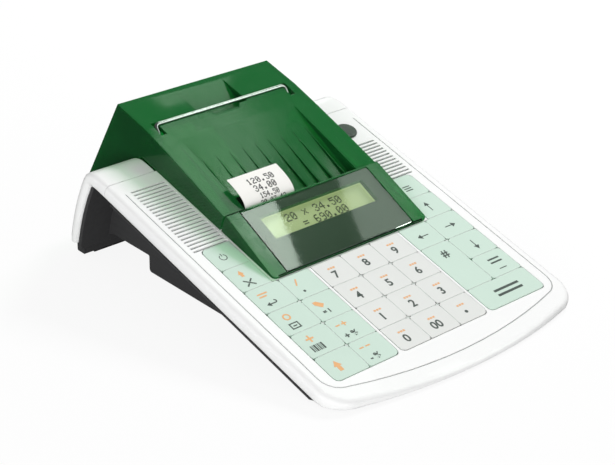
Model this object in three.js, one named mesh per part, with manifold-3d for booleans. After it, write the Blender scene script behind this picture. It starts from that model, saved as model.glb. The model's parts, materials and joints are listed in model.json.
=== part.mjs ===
// Ticket register: a small counter till with a sloping key deck, a raised display, a ticket printer
// under a see-through cover, and a dark base that stands on four pads.
// Millimetres, +X to the right, +Y to the back, +Z up. The origin is on the ground, at the middle.
// Deck places are given as x across, s up the slope and n out of the deck's top face.
import * as THREE from 'three';
import { mergeVertices } from 'three/addons/utils/BufferGeometryUtils.js';
import Module from 'manifold-3d';

const wasm = await Module();
wasm.setup();

// Shared clearances and counts
const clearance = 0.3;
const overrun = 6;
const mergeTolerance = 1e-4;
const arcSteps = 6;
const roundSteps = 28;

// The deck: its slope and its height above the ground at the keys' front edge
const deckAngle = THREE.MathUtils.degToRad(15);
const deckHeight = 7.35;

// Keys
const keySpacing = { across: 17.5, up: 15 };
const keyField = { margin: 0.95, border: 10.3, columnGap: 0.6, ribWidth: 1.2, cornerRadius: 3 };
const keyColumns = 7;
const middleColumns = 3;
const keyRows = { group: 4, column: 6 };
const [firstColumn, lastColumn] = [-3, 3];
const centreShare = 0.5;
const key = { thickness: 2, rise: 0.15, gap: 0.3, cornerRadius: 1.5 };
const mat = { topN: -3.15, thickness: 0.8, sideMargin: 1.8, frontMargin: 1.5, margin: 1.3 };
const keyBoard = { topN: -4.25, thickness: 1 };
const fieldHalfWidth = (keyColumns * keySpacing.across) / 2 + keyField.margin;
const middleEdge = (middleColumns * keySpacing.across) / 2;
const groupTop = keyRows.group * keySpacing.up;
const columnTop = keyRows.column * keySpacing.up;

// White top case
const slab = {
  halfWidth: fieldHalfWidth + keyField.border,
  frontS: -20.5,
  seamS: 144,
  thickness: 7,
  edgeRound: 2.4,
  cornerRadius: 14,
  crownSpan: 60,
  crownSag: 7.5,
  wall: 2,
  rimWall: 3,
  hollowFrontS: -4.6,
  groundGap: 0.9,
  seamGap: 0.3,
};
const span = 2 * slab.seamS;
const trimLine = { border: 4.6, frontS: -11.4, rearS: 136, cornerRadius: 9.5, width: 0.5, depth: 0.4 };
const vents = { border: 7.8, innerGap: 0.9, frontS: 90.1, spacing: 2.26, width: 1 };
const ventCounts = { left: 21, right: 13 };
const bay = { ledge: 4.5, frontGap: 2 };

// White rear shell: the deck folds down into a leg across the back
const leg = {
  ridgeS: 149,
  topY: 157.3,
  topZ: 42.6,
  bendY: 165.6,
  bendZ: 27.5,
  footY: 169.4,
  footZ: 10,
  bottomZ: 7,
  depthY: 5.1,
  depthZ: 3,
  innerS: 147,
  tubStep: 16.5,
  panelStep: 1,
  footStep: 3.5,
};
const legStrip = { topZ: 12.8 };

// Dark base
const base = {
  halfWidth: slab.halfWidth - leg.tubStep,
  wall: 2,
  bottomZ: 1,
  topGap: 0.3,
  frontFloorZ: 2.4,
  rearFloorZ: 3.9,
  cavityFrontY: 8,
  floorStepY: 56,
  stepY: 131,
  stepRound: 1.8,
  archZ: 9,
  archRound: 1,
  archRearY: 158,
  footFrontY: 163.2,
  footRearY: 168.6,
  footTopZ: 6.6,
  footHalfWidth: slab.halfWidth - leg.footStep,
  panelHalfWidth: slab.halfWidth - leg.panelStep,
  panelWall: 2,
  panelGap: 0.4,
  flangeTopN: -5.6,
  flangeGap: 0.4,
  flangeFrontS: -4.2,
  flangeThickness: 2,
  bucketGap: 0.4,
  footEdge: 0.4,
};
const bucket = { sideGap: 2.7, wall: 1.7, rimZ: 34, frontY: 150 };
const rollCheek = { thickness: 1.4, topZ: 27 };
const cradleRib = { thickness: 1.6, inset: 4, frontY: 140, rearY: 158 };
const boss = { radius: 2.4, insetX: 6, insetY: 5 };
const pad = { radius: 5, inset: 12, y: 12, height: 1 };
const rearPad = { halfLength: 12, depth: 4.4, inset: 18, y: 165.9 };

// Battery bay in the floor
const door = {
  sideMargin: 4.75,
  frontY: 62,
  thickness: 1.4,
  tongue: 1.5,
  tongueThickness: 0.6,
  recessHeight: 1.7,
  grooveHeight: 1.2,
  gripY: 122,
  gripSpacing: 2.4,
  gripDepth: 0.5,
  gripWidth: 1,
  gripHalfLength: 9,
};
const gripCount = 3;
const cell = { radius: 7.25, length: 50.5, overlap: 0.15, firstY: 75.4 };
const cellCount = 4;
const cellSpacing = 2 * cell.radius - cell.overlap;
const batteryHole = { sideGap: 0.6, margin: 2 };
const doorHalfWidth = cell.length / 2 + door.sideMargin;

// Paper, printer and its gear train
const paper = { width: 28, thickness: 0.3, gap: 0.3, slot: 1.1 };
const roll = { y: 156, z: 32.5, radius: 18.5, coreRadius: 6 };
const platen = { y: 99.5, z: 28.5, radius: 4.5, overhang: 1, shaftRadius: 1.2 };
const nipAngle = THREE.MathUtils.degToRad(225);
const head = { length: 10, thickness: 2 };
const cheek = {
  thickness: 1.6,
  gap: 2.2,
  bottomZ: 19.8,
  frontY: 90,
  frontZ: 29.8,
  noseY: 92,
  noseZ: 31.2,
  shoulderY: 104,
  shoulderZ: 33,
  rearZ: 24.6,
};
const beam = { y: 121, depth: 4, bottomZ: 20, height: 4 };
const motorPlate = { thickness: 1.4, margin: 0.7 };
const motor = { radius: 7.5, length: 12, shaftRadius: 0.8 };
const train = { module: 0.5, width: 1.8, backlash: 0.12, pinRadius: 0.9 };
const tipShare = 0.85;
const rootShare = 1.1;
const pressureAngle = THREE.MathUtils.degToRad(20);
const teeth = { platen: 20, idler: 16, pinion: 10 };
const idlerAngle = THREE.MathUtils.degToRad(-30);
const pinionAngle = THREE.MathUtils.degToRad(40);

// Green display unit, in front of the cover
const display = { frontGap: 0.2, depth: 36, frontN: 1, rearN: 8.5, wall: 1.8, cornerRadius: 2.5, sideStep: 0.1 };
const displayFrontS = groupTop + display.frontGap;
const displayRearS = displayFrontS + display.depth;
const panel = { sideMargin: 8.2, thickness: 1.1, frontT: 1, rearMargin: 0.9 };
const lcd = { sideMargin: 4.3, depth: 19, thickness: 2.6, glassDepth: 0.5 };
const lcdWindow = { sideMargin: 2.6, frontT: 18, rearT: 31 };

// Green printer cover: a drafted shell
const cover = {
  shoulder: 16.7,
  draftAngle: THREE.MathUtils.degToRad(5.793),
  frontTopN: 7.35,
  kneeRun: 23.3,
  kneeN: 10.3,
  browRun: 42.9,
  browN: 12.4,
  crestRun: 59.5,
  topN: 13.8,
  backRun: 80.85,
  backAngle: THREE.MathUtils.degToRad(10),
  bottomZ: 26,
  sideRearY: 164,
  sideRearRun: 58.2,
  wall: 2,
  notchGap: 0.5,
};
const coverHalfWidth = fieldHalfWidth - cover.shoulder;
const coverFrontS = displayRearS + paper.slot;
const crestS = coverFrontS + cover.crestRun;
const browS = coverFrontS + cover.browRun;
const recess = { sideMargin: 12.5, run: 47.4, lipN: 1.6 };
const rib = { spacing: 7.5, width: 0.8, run: 32.2, height: 1.6 };
const ribCount = 9;
const scoop = { halfWidth: 13.65, frontRun: 58.2, rearRun: 76.7, floorN: 7.3, wall: 1.8 };
const scoopFrontS = coverFrontS + scoop.frontRun;
const scoopNotch = { halfWidth: 9, tipHalfWidth: 6.5, length: 3, depth: 1.5, block: 3.5 };
const panelHalfWidth = coverHalfWidth - panel.sideMargin;
const lcdHalfWidth = panelHalfWidth - lcd.sideMargin;
const lcdWindowHalfWidth = lcdHalfWidth - lcdWindow.sideMargin;
const recessHalfWidth = coverHalfWidth - recess.sideMargin;
const paperLeftX = clearance - recessHalfWidth;
const paperRightX = paperLeftX + paper.width;

// Steel bail across the cover
const bail = { radius: 1, barRun: 60.4, barN: 13.7, sideMargin: 7.5, pivotRun: 54.7, pivotN: 9.5, bend: 2, stub: 3.2 };
const bailSlot = { sideGap: 0.5, frontGap: 0.4, rearGap: 0.8, grooveGap: 0.35, lugWall: 1.6 };
const bailHalfLength = coverHalfWidth - bail.sideMargin;
const bailPivotS = coverFrontS + bail.pivotRun;
const bailBarS = coverFrontS + bail.barRun;

// Hinge of the cover, behind the paper roll
const hinge = { y: 180.5, z: 29.5, pinRadius: 1.3, earRadius: 2.4, lugRadius: 3.2 };
const hingeLug = { inset: 4.8, thickness: 3 };
const hingeEar = { gap: 0.4, thickness: 4.1 };
const bucketHalfWidth = coverHalfWidth - bucket.sideGap;
const lugInnerX = bucketHalfWidth - hingeLug.inset;
const earInnerX = lugInnerX - hingeEar.gap - hingeEar.thickness;

// Ticket that lies in the paper recess
const ticket = { startN: 0.8, bendN: 5.5, turnN: 11.8, endRun: 14.7, endN: 12.8 };

// Boards and sockets
const mainBoard = { sideGap: 8, frontY: 18, rearY: 56, bottomZ: 3.4, thickness: 1.2 };
const chip = { width: 12, depth: 9, height: 1, y: 40 };
const chipPlaceShares = [-0.6, 0, 0.5];
const inlet = { y: 106.5, z: 15, width: 9, height: 9.5, depth: 13, proud: 0.6, boreRadius: 3, pinRadius: 1 };
const port = { y: 119.5, z: 13, width: 12, height: 10, depth: 14, proud: 0.6, mouthWidth: 9.5, mouthHeight: 7 };
const socketMouth = { depth: 9 };

// Key reader on the right shoulder
const reader = { s: 129, radius: 5.3, height: 0.6, stemRadius: 3.4, stemLength: 4.2, dish: 0.25, rim: 1 };
const readerX = (coverHalfWidth + slab.halfWidth - trimLine.border) / 2;

const crownRadius = (slab.crownSpan ** 2 + slab.crownSag ** 2) / (2 * slab.crownSag);
const axisX = new THREE.Vector3(1, 0, 0);
const axisY = new THREE.Vector3(0, 1, 0);
const axisZ = new THREE.Vector3(0, 0, 1);

// From deck place to upright place (y, z), and back
function uprightOf(s, n) {
  const y = s * Math.cos(deckAngle) - n * Math.sin(deckAngle);
  const z = deckHeight + s * Math.sin(deckAngle) + n * Math.cos(deckAngle);
  return [y, z];
}

function deckOf(y, z) {
  const rise = z - deckHeight;
  const s = y * Math.cos(deckAngle) + rise * Math.sin(deckAngle);
  const n = -y * Math.sin(deckAngle) + rise * Math.cos(deckAngle);
  return [s, n];
}

// A three.js geometry as a solid body, and a solid body as a geometry
function solid(geometry) {
  geometry.deleteAttribute('normal');
  geometry.deleteAttribute('uv');
  const merged = mergeVertices(geometry, mergeTolerance);
  const mesh = new wasm.Mesh({
    numProp: 3,
    vertProperties: merged.attributes.position.array,
    triVerts: new Uint32Array(merged.index.array),
  });
  return new wasm.Manifold(mesh);
}

function geometryOf(body) {
  const mesh = body.getMesh();
  const geometry = new THREE.BufferGeometry();
  geometry.setAttribute('position', new THREE.BufferAttribute(mesh.vertProperties, 3));
  geometry.setIndex(new THREE.BufferAttribute(mesh.triVerts, 1));
  geometry.computeVertexNormals();
  return geometry;
}

function joined(bodies) {
  return bodies.reduce((whole, body) => whole.add(body));
}

function box(low, high) {
  const size = low.map((value, axis) => high[axis] - value);
  const geometry = new THREE.BoxGeometry(...size);
  geometry.translate(...low.map((value, axis) => (value + high[axis]) / 2));
  return solid(geometry);
}

function outline(points) {
  return new THREE.Shape(points.map(([across, up]) => new THREE.Vector2(across, up)));
}

// An outline with each corner rounded by its own radius
function roundedOutline(points, radii) {
  const shape = new THREE.Shape();
  points.forEach(([x, y], index) => {
    const here = new THREE.Vector2(x, y);
    const before = new THREE.Vector2(...points[(index + points.length - 1) % points.length]);
    const after = new THREE.Vector2(...points[(index + 1) % points.length]);
    const radius = radii[index];
    const enter = before.clone().sub(here).setLength(radius).add(here);
    const leave = after.clone().sub(here).setLength(radius).add(here);
    if (index === 0) {
      shape.moveTo(enter.x, enter.y);
    } else {
      shape.lineTo(enter.x, enter.y);
    }
    if (radius > 0) {
      shape.quadraticCurveTo(here.x, here.y, leave.x, leave.y);
    }
  });
  shape.closePath();
  return shape;
}

// Each edge of an outline moved inwards by its own distance; a negative one moves it outwards
function insetOutline(points, distances) {
  const count = points.length;
  const area = points.reduce((sum, [x, y], index) => {
    const [nextX, nextY] = points[(index + 1) % count];
    return sum + x * nextY - nextX * y;
  }, 0);
  const side = Math.sign(area);
  const edges = points.map(([x, y], index) => {
    const [nextX, nextY] = points[(index + 1) % count];
    const along = new THREE.Vector2(nextX - x, nextY - y).normalize();
    const inward = new THREE.Vector2(-along.y, along.x).multiplyScalar(side * distances[index]);
    return { start: new THREE.Vector2(x, y).add(inward), along };
  });
  return edges.map((edge, index) => {
    const last = edges[(index + count - 1) % count];
    const between = edge.start.clone().sub(last.start);
    const step = between.cross(edge.along) / last.along.cross(edge.along);
    const corner = last.start.clone().addScaledVector(last.along, step);
    return [corner.x, corner.y];
  });
}

function extruded(shape, length, steps = arcSteps) {
  return new THREE.ExtrudeGeometry(shape, { depth: length, bevelEnabled: false, curveSegments: steps });
}

// A side outline (y, z) extruded across x
function acrossX(shape, low, high, steps = arcSteps) {
  const geometry = extruded(shape, high - low, steps);
  geometry.applyMatrix4(new THREE.Matrix4().makeBasis(axisY, axisZ, axisX));
  geometry.translate(low, 0, 0);
  return solid(geometry);
}

// A front outline (x, z) extruded along y
function alongY(shape, low, high) {
  const geometry = extruded(shape, high - low);
  geometry.applyMatrix4(new THREE.Matrix4().makeBasis(axisX, axisZ, axisY.clone().negate()));
  geometry.translate(0, high, 0);
  return solid(geometry);
}

// A plan outline (x, y) extruded up z
function upZ(shape, low, high, steps = arcSteps) {
  const geometry = extruded(shape, high - low, steps);
  geometry.translate(0, 0, low);
  return solid(geometry);
}

function rodX(low, high, y, z, radius, steps = roundSteps) {
  const geometry = new THREE.CylinderGeometry(radius, radius, high - low, steps);
  geometry.rotateZ(Math.PI / 2);
  geometry.translate((low + high) / 2, y, z);
  return solid(geometry);
}

function rodZ(x, y, low, high, radius, steps = roundSteps) {
  const geometry = new THREE.CylinderGeometry(radius, radius, high - low, steps);
  geometry.rotateX(Math.PI / 2);
  geometry.translate(x, y, (low + high) / 2);
  return solid(geometry);
}

// A strip of even thickness along a side path of points (y, z)
function ribbon(path, thickness, low, high) {
  const sides = [1, -1].map((side) =>
    path.map((point, index) => {
      const before = path[Math.max(index - 1, 0)];
      const after = path[Math.min(index + 1, path.length - 1)];
      const along = after.clone().sub(before).normalize();
      return [point.x - (along.y * side * thickness) / 2, point.y + (along.x * side * thickness) / 2];
    }));
  return acrossX(outline([...sides[0], ...sides[1].reverse()]), low, high);
}

function angled(centre, radius, angle) {
  return new THREE.Vector2(centre.y + radius * Math.cos(angle), centre.z + radius * Math.sin(angle));
}

// The plan outline of the deck: straight sides, round front corners and a crowned front
function deckOutline({ halfWidth, frontS, cornerRadius, radius, rearS }) {
  const crownCentre = frontS + radius;
  const cornerX = halfWidth - cornerRadius;
  const cornerS = crownCentre - Math.sqrt((radius - cornerRadius) ** 2 - cornerX ** 2);
  const turn = Math.atan2(cornerS - crownCentre, cornerX);
  const shape = new THREE.Shape();
  shape.moveTo(halfWidth, rearS);
  shape.lineTo(-halfWidth, rearS);
  shape.absarc(-cornerX, cornerS, cornerRadius, Math.PI, Math.PI - turn, false);
  shape.absarc(0, crownCentre, radius, -Math.PI - turn, turn, false);
  shape.absarc(cornerX, cornerS, cornerRadius, turn, 0, false);
  shape.closePath();
  return shape;
}

function slabOutline(inset, rearS) {
  return deckOutline({
    halfWidth: slab.halfWidth - inset,
    frontS: slab.frontS + inset,
    cornerRadius: slab.cornerRadius - inset,
    radius: crownRadius - inset,
    rearS,
  });
}

// All that lies under a height of the upright frame, as seen from the deck
function under(height) {
  const geometry = new THREE.BoxGeometry(span, 2 * span, span);
  geometry.translate(0, 0, height - deckHeight - span / 2);
  geometry.rotateX(-deckAngle);
  return solid(geometry);
}

// A prism along the slope whose sides lean in like the cover's
function draftPrism(growth, lowN, highN, lowS, highS) {
  const half = (n) => coverHalfWidth - Math.tan(cover.draftAngle) * n + growth;
  const shape = outline([
    [-half(lowN), lowN],
    [half(lowN), lowN],
    [half(highN), highN],
    [-half(highN), highN],
  ]);
  return alongY(shape, lowS, highS);
}

// Key windows: two outer groups with a taller outer column, and a middle group
function outerGroupOutline(side, inset) {
  const outer = side * (fieldHalfWidth - inset);
  const inner = side * (middleEdge + keyField.ribWidth / 2 + inset);
  const column = side * (coverHalfWidth + keyField.columnGap + inset);
  const round = keyField.cornerRadius;
  const points = [
    [outer, inset],
    [inner, inset],
    [inner, groupTop - inset],
    [column, groupTop - inset],
    [column, columnTop - inset],
    [outer, columnTop - inset],
  ];
  return roundedOutline(points, [round, round, 0, 0, 0, round]);
}

function middleGroupOutline(inset) {
  const edge = middleEdge - keyField.ribWidth / 2 - inset;
  const round = keyField.cornerRadius;
  const points = [
    [-edge, inset],
    [edge, inset],
    [edge, groupTop - inset],
    [-edge, groupTop - inset],
  ];
  return roundedOutline(points, [round, round, 0, 0]);
}

function groupOutline(group, inset) {
  return group === 0 ? middleGroupOutline(inset) : outerGroupOutline(group, inset);
}

function trimOutline(inset, rearS) {
  return deckOutline({
    halfWidth: slab.halfWidth - trimLine.border - inset,
    frontS: trimLine.frontS + inset,
    cornerRadius: trimLine.cornerRadius - inset,
    radius: crownRadius - inset,
    rearS,
  });
}

function topCase() {
  const round = slab.edgeRound;
  const geometry = new THREE.ExtrudeGeometry(slabOutline(0, slab.seamS + overrun), {
    depth: slab.thickness - 2 * round,
    bevelThickness: round,
    bevelSize: round,
    bevelOffset: -round,
    bevelSegments: 4,
    curveSegments: arcSteps,
  });
  geometry.translate(0, 0, round - slab.thickness);
  let body = solid(geometry);
  const high = overrun;
  const low = -slab.thickness - overrun;
  body = body.subtract(box([-span, slab.seamS, low], [span, span, high]));
  body = body.subtract(under(slab.groundGap));
  const hollow = upZ(slabOutline(slab.rimWall, slab.seamS + overrun), low, -slab.wall);
  body = body.subtract(hollow.subtract(box([-span, -span, low - overrun], [span, slab.hollowFrontS, high])));
  for (const group of [-1, 0, 1]) {
    body = body.subtract(upZ(groupOutline(group, 0), -slab.wall - overrun, high));
  }
  const bayHalf = coverHalfWidth - bay.ledge;
  body = body.subtract(box([-bayHalf, groupTop + bay.frontGap, low], [bayHalf, slab.seamS + overrun, high]));
  const ventSides = [coverHalfWidth + vents.innerGap, slab.halfWidth - vents.border];
  for (const side of [-1, 1]) {
    const count = side < 0 ? ventCounts.left : ventCounts.right;
    for (let index = 0; index < count; index += 1) {
      const s = vents.frontS + index * vents.spacing;
      const x = ventSides.map((place) => side * place).sort((a, b) => a - b);
      body = body.subtract(box([x[0], s, low], [x[1], s + vents.width, high]));
    }
  }
  const readerHole = reader.stemRadius + clearance;
  body = body.subtract(rodZ(readerX, reader.s, low, high, readerHole));
  const outer = upZ(trimOutline(0, trimLine.rearS), -trimLine.depth, high);
  const inner = upZ(trimOutline(trimLine.width, trimLine.rearS + overrun), -slab.wall, high + overrun);
  return body.subtract(outer.subtract(inner));
}

// The side outline of the leg's outer and inner faces
function legCurve(shape, shiftY, shiftZ, upwards) {
  const top = [leg.topY + shiftY, leg.topZ + shiftZ];
  const bend = [leg.bendY + shiftY, leg.bendZ + shiftZ];
  const foot = [leg.footY + shiftY, leg.footZ + shiftZ];
  const [start, end] = upwards ? [foot, top] : [top, foot];
  shape.lineTo(...start);
  shape.quadraticCurveTo(...bend, ...end);
}

// Where the line through two points meets the deck face at depth n
function deckCrossing(first, second, n) {
  const steep = (second[1] - first[1]) / (second[0] - first[0]);
  const rise = Math.tan(deckAngle);
  const [y0, z0] = uprightOf(0, n);
  const y = (z0 - rise * y0 - first[1] + steep * first[0]) / (steep - rise);
  return [y, z0 + rise * (y - y0)];
}

function rearShell() {
  const round = slab.edgeRound;
  const top = [leg.topY, leg.topZ];
  const bend = [leg.bendY, leg.bendZ];
  const shape = new THREE.Shape();
  shape.moveTo(...uprightOf(slab.seamS - overrun, 0));
  shape.lineTo(...uprightOf(leg.ridgeS, 0));
  shape.quadraticCurveTo(...deckCrossing(top, bend, 0), ...top);
  legCurve(shape, 0, 0, false);
  shape.lineTo(leg.footY, leg.bottomZ - overrun);
  shape.lineTo(leg.footY - leg.depthY, leg.bottomZ - overrun);
  legCurve(shape, -leg.depthY, -leg.depthZ, true);
  const innerTop = [leg.topY - leg.depthY, leg.topZ - leg.depthZ];
  const innerBend = [leg.bendY - leg.depthY, leg.bendZ - leg.depthZ];
  const corner = deckCrossing(innerTop, innerBend, -slab.thickness);
  shape.quadraticCurveTo(...corner, ...uprightOf(leg.innerS, -slab.thickness));
  shape.lineTo(...uprightOf(slab.seamS - overrun, -slab.thickness));
  shape.closePath();
  const geometry = new THREE.ExtrudeGeometry(shape, {
    depth: 2 * (slab.halfWidth - round),
    bevelThickness: round,
    bevelSize: round,
    bevelOffset: -round,
    bevelSegments: 4,
    curveSegments: arcSteps,
  });
  geometry.applyMatrix4(new THREE.Matrix4().makeBasis(axisY, axisZ, axisX));
  geometry.translate(round - slab.halfWidth, 0, 0);
  geometry.translate(0, 0, -deckHeight);
  geometry.rotateX(-deckAngle);
  const far = deckOf(leg.footY, 0)[1];
  const cut = box([-span, -span, far - overrun], [span, slab.seamS + slab.seamGap, overrun]);
  const notch = draftPrism(cover.notchGap, far, overrun, slab.seamS - overrun, span);
  return solid(geometry)
    .subtract(cut)
    .subtract(under(leg.bottomZ))
    .subtract(notch.subtract(under(legStrip.topZ)));
}

// Dark base: tub, rear panel, foot bar, flange under the deck and the round bucket for the roll
function tubOutline() {
  const n = -slab.thickness - base.topGap;
  const tipS = (base.bottomZ - deckHeight - n * Math.cos(deckAngle)) / Math.sin(deckAngle);
  const shape = new THREE.Shape();
  shape.moveTo(...uprightOf(tipS, n));
  shape.lineTo(base.stepY - base.stepRound, base.bottomZ);
  shape.quadraticCurveTo(base.stepY, base.bottomZ, base.stepY, base.bottomZ + base.stepRound);
  shape.lineTo(base.stepY, base.archZ - base.archRound);
  shape.quadraticCurveTo(base.stepY, base.archZ, base.stepY + base.archRound, base.archZ);
  shape.lineTo(base.archRearY, base.archZ);
  legCurve(shape, -leg.depthY - base.panelGap, -leg.depthZ, true);
  shape.lineTo(...uprightOf(leg.innerS - clearance, n));
  shape.closePath();
  return shape;
}

function panelOutline(thickness, lowZ) {
  const shiftY = -leg.depthY - base.panelGap;
  const shape = new THREE.Shape();
  shape.moveTo(leg.footY + shiftY - thickness, lowZ);
  shape.lineTo(leg.footY + shiftY, lowZ);
  legCurve(shape, shiftY, -leg.depthZ, true);
  legCurve(shape, shiftY - thickness, -leg.depthZ, false);
  shape.closePath();
  return shape;
}

function footOutline() {
  const edge = base.footEdge;
  return outline([
    [base.footFrontY, base.bottomZ],
    [base.footRearY - edge, base.bottomZ],
    [base.footRearY, base.bottomZ + edge],
    [base.footRearY, base.footTopZ],
    [base.footFrontY, base.footTopZ],
  ]);
}

function flange() {
  const geometry = extruded(slabOutline(slab.rimWall + base.flangeGap, slab.seamS), base.flangeThickness);
  geometry.translate(0, 0, base.flangeTopN - base.flangeThickness);
  geometry.rotateX(deckAngle);
  geometry.translate(0, 0, deckHeight);
  const frontY = uprightOf(base.flangeFrontS, base.flangeTopN)[0];
  return solid(geometry).intersect(box([-span, frontY, base.bottomZ], [span, span, span]));
}

const bucketInnerRadius = roll.radius + base.bucketGap;
const bucketOuterRadius = bucketInnerRadius + bucket.wall;

function baseShell() {
  const side = base.halfWidth;
  const outer = joined([
    acrossX(tubOutline(), -side, side),
    acrossX(panelOutline(base.panelWall, base.footTopZ - base.panelWall), -base.panelHalfWidth, base.panelHalfWidth),
    acrossX(footOutline(), -base.footHalfWidth, base.footHalfWidth),
    flange(),
  ]);
  const bulge = rodX(-bucketHalfWidth, bucketHalfWidth, roll.y, roll.z, bucketOuterRadius, 2 * roundSteps)
    .intersect(box([-span, bucket.frontY, 0], [span, span, bucket.rimZ]));
  const inner = side - base.wall;
  const frontCavity = box(
    [-inner, base.cavityFrontY, base.frontFloorZ],
    [inner, base.floorStepY, span],
  );
  const bayCavity = box(
    [-inner, base.floorStepY, base.rearFloorZ],
    [inner, base.stepY - base.wall, span],
  );
  const rearCavity = acrossX(rearCavityOutline(), -inner, inner);
  const bucketInner = bucketHalfWidth - bucket.wall;
  const well = rodX(-bucketInner, bucketInner, roll.y, roll.z, bucketInnerRadius, 2 * roundSteps);
  const mouth = box(
    [-bucketInner, base.stepY, roll.z],
    [bucketInner, roll.y + bucketInnerRadius * Math.cos(Math.PI / (2 * roundSteps)), span],
  );
  return outer
    .subtract(frontCavity)
    .subtract(bayCavity)
    .subtract(rearCavity)
    .add(bulge)
    .subtract(well.add(mouth));
}

function rearCavityOutline() {
  const shiftY = -leg.depthY - base.panelGap - base.panelWall;
  const floorZ = base.archZ + base.wall;
  const shape = new THREE.Shape();
  shape.moveTo(base.stepY - base.wall - clearance, floorZ);
  shape.lineTo(leg.footY + shiftY - base.wall, floorZ);
  shape.lineTo(leg.bendY + shiftY - base.wall, leg.bendZ - leg.depthZ);
  shape.lineTo(leg.topY + shiftY, leg.topZ - leg.depthZ);
  shape.lineTo(leg.topY + shiftY, span);
  shape.lineTo(base.stepY - base.wall - clearance, span);
  shape.closePath();
  return shape;
}

function cradle() {
  const well = rodX(-span, span, roll.y, roll.z, roll.radius + clearance, 2 * roundSteps);
  const ribs = [paperLeftX + cradleRib.inset, paperRightX - cradleRib.inset].map((x) => box(
    [x - cradleRib.thickness / 2, cradleRib.frontY, base.archZ + base.wall / 2],
    [x + cradleRib.thickness / 2, cradleRib.rearY, roll.z - roll.radius / 2],
  ).subtract(well));
  const cheeks = [paperLeftX - clearance - rollCheek.thickness, paperRightX + clearance].map((x) =>
    rodX(x, x + rollCheek.thickness, roll.y, roll.z, bucketInnerRadius + bucket.wall / 2, 2 * roundSteps)
      .intersect(box([-span, 0, base.archZ + base.wall / 2], [span, span, rollCheek.topZ])));
  return joined([...ribs, ...cheeks]);
}

function hingeEars() {
  const wallY = roll.y + bucketInnerRadius + bucket.wall / 4;
  return joined([-1, 1].flatMap((side) => {
    const from = side * earInnerX;
    const to = side * (earInnerX + hingeEar.thickness);
    const pinEnd = side * (lugInnerX + hingeLug.thickness);
    const [low, high] = [Math.min(from, to), Math.max(from, to)];
    return [
      box([low, wallY, hinge.z - hinge.earRadius], [high, hinge.y, hinge.z + hinge.earRadius]),
      rodX(low, high, hinge.y, hinge.z, hinge.earRadius),
      rodX(Math.min(from, pinEnd), Math.max(from, pinEnd), hinge.y, hinge.z, hinge.pinRadius),
    ];
  }));
}

function doorRecess() {
  const lowZ = -overrun;
  const rearY = base.stepY + overrun;
  const frontY = door.frontY - clearance;
  const half = doorHalfWidth + clearance;
  const groove = half + door.tongue;
  const grooveLow = base.bottomZ + door.recessHeight - door.grooveHeight;
  const holeFrontY = cell.firstY - cell.radius - batteryHole.margin;
  const holeRearY = cell.firstY + (cellCount - 1) * cellSpacing + cell.radius + batteryHole.margin;
  const holeHalf = cell.length / 2 + batteryHole.sideGap;
  return joined([
    box([-half, frontY, lowZ], [half, rearY, base.bottomZ + door.recessHeight]),
    box([-groove, frontY, grooveLow], [groove, rearY, base.bottomZ + door.recessHeight]),
    box([-holeHalf, holeFrontY, 0], [holeHalf, holeRearY, base.archZ]),
  ]);
}

function socketHoles() {
  return joined([inlet, port].map((socket) => box(
    [base.halfWidth - socket.depth, socket.y - socket.width / 2 - clearance, socket.z - socket.height / 2 - clearance],
    [span, socket.y + socket.width / 2 + clearance, socket.z + socket.height / 2 + clearance],
  )));
}

function boardBosses() {
  const places = [];
  const reach = base.halfWidth - mainBoard.sideGap - boss.insetX;
  for (const x of [-reach, reach]) {
    for (const y of [mainBoard.frontY + boss.insetY, mainBoard.rearY - boss.insetY]) {
      places.push(rodZ(x, y, base.bottomZ + base.wall / 4, mainBoard.bottomZ, boss.radius, 12));
    }
  }
  return joined(places);
}

function baseCase() {
  return baseShell()
    .add(cradle())
    .add(hingeEars())
    .add(boardBosses())
    .subtract(doorRecess())
    .subtract(socketHoles());
}

function batteryDoor() {
  const low = base.bottomZ;
  const rearY = base.stepY - base.stepRound;
  const plate = box([-doorHalfWidth, door.frontY, low], [doorHalfWidth, rearY, low + door.thickness]);
  const reach = doorHalfWidth + door.tongue;
  const tongueLow = low + door.thickness - door.tongueThickness;
  const tongues = box([-reach, door.frontY, tongueLow], [reach, rearY, low + door.thickness]);
  let body = plate.add(tongues);
  for (let index = 0; index < gripCount; index += 1) {
    const y = door.gripY + index * door.gripSpacing;
    body = body.subtract(box([-door.gripHalfLength, y, 0], [door.gripHalfLength, y + door.gripWidth, low + door.gripDepth]));
  }
  return body;
}

function batteryPack() {
  const z = base.bottomZ + door.thickness + clearance + cell.radius;
  const cells = [];
  for (let index = 0; index < cellCount; index += 1) {
    const y = cell.firstY + index * cellSpacing;
    cells.push(rodX(-cell.length / 2, cell.length / 2, y, z, cell.radius));
  }
  return joined(cells);
}

// A key cap fills its cells and takes the rounded corner of its group
function keyCap({ group, column, row, columns = 1, rows = 1 }) {
  const far = group * fieldHalfWidth;
  const halfGap = key.gap / 2;
  const [from, to] = [column, column + columns].map((place) => (place - centreShare) * keySpacing.across);
  const left = column === firstColumn ? far + clearance : from + halfGap;
  const right = column + columns > lastColumn ? far - clearance : to - halfGap;
  const front = (row - 1) * keySpacing.up + halfGap;
  const rear = (row - 1 + rows) * keySpacing.up - halfGap;
  const corners = [[left, front], [right, front], [right, rear], [left, rear]];
  const shape = roundedOutline(corners, corners.map(() => key.cornerRadius));
  const low = key.rise - key.thickness;
  const windowShape = groupOutline(group, clearance);
  return upZ(shape, low, key.rise, 2).intersect(upZ(windowShape, low - overrun, key.rise + overrun, 3));
}

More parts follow.
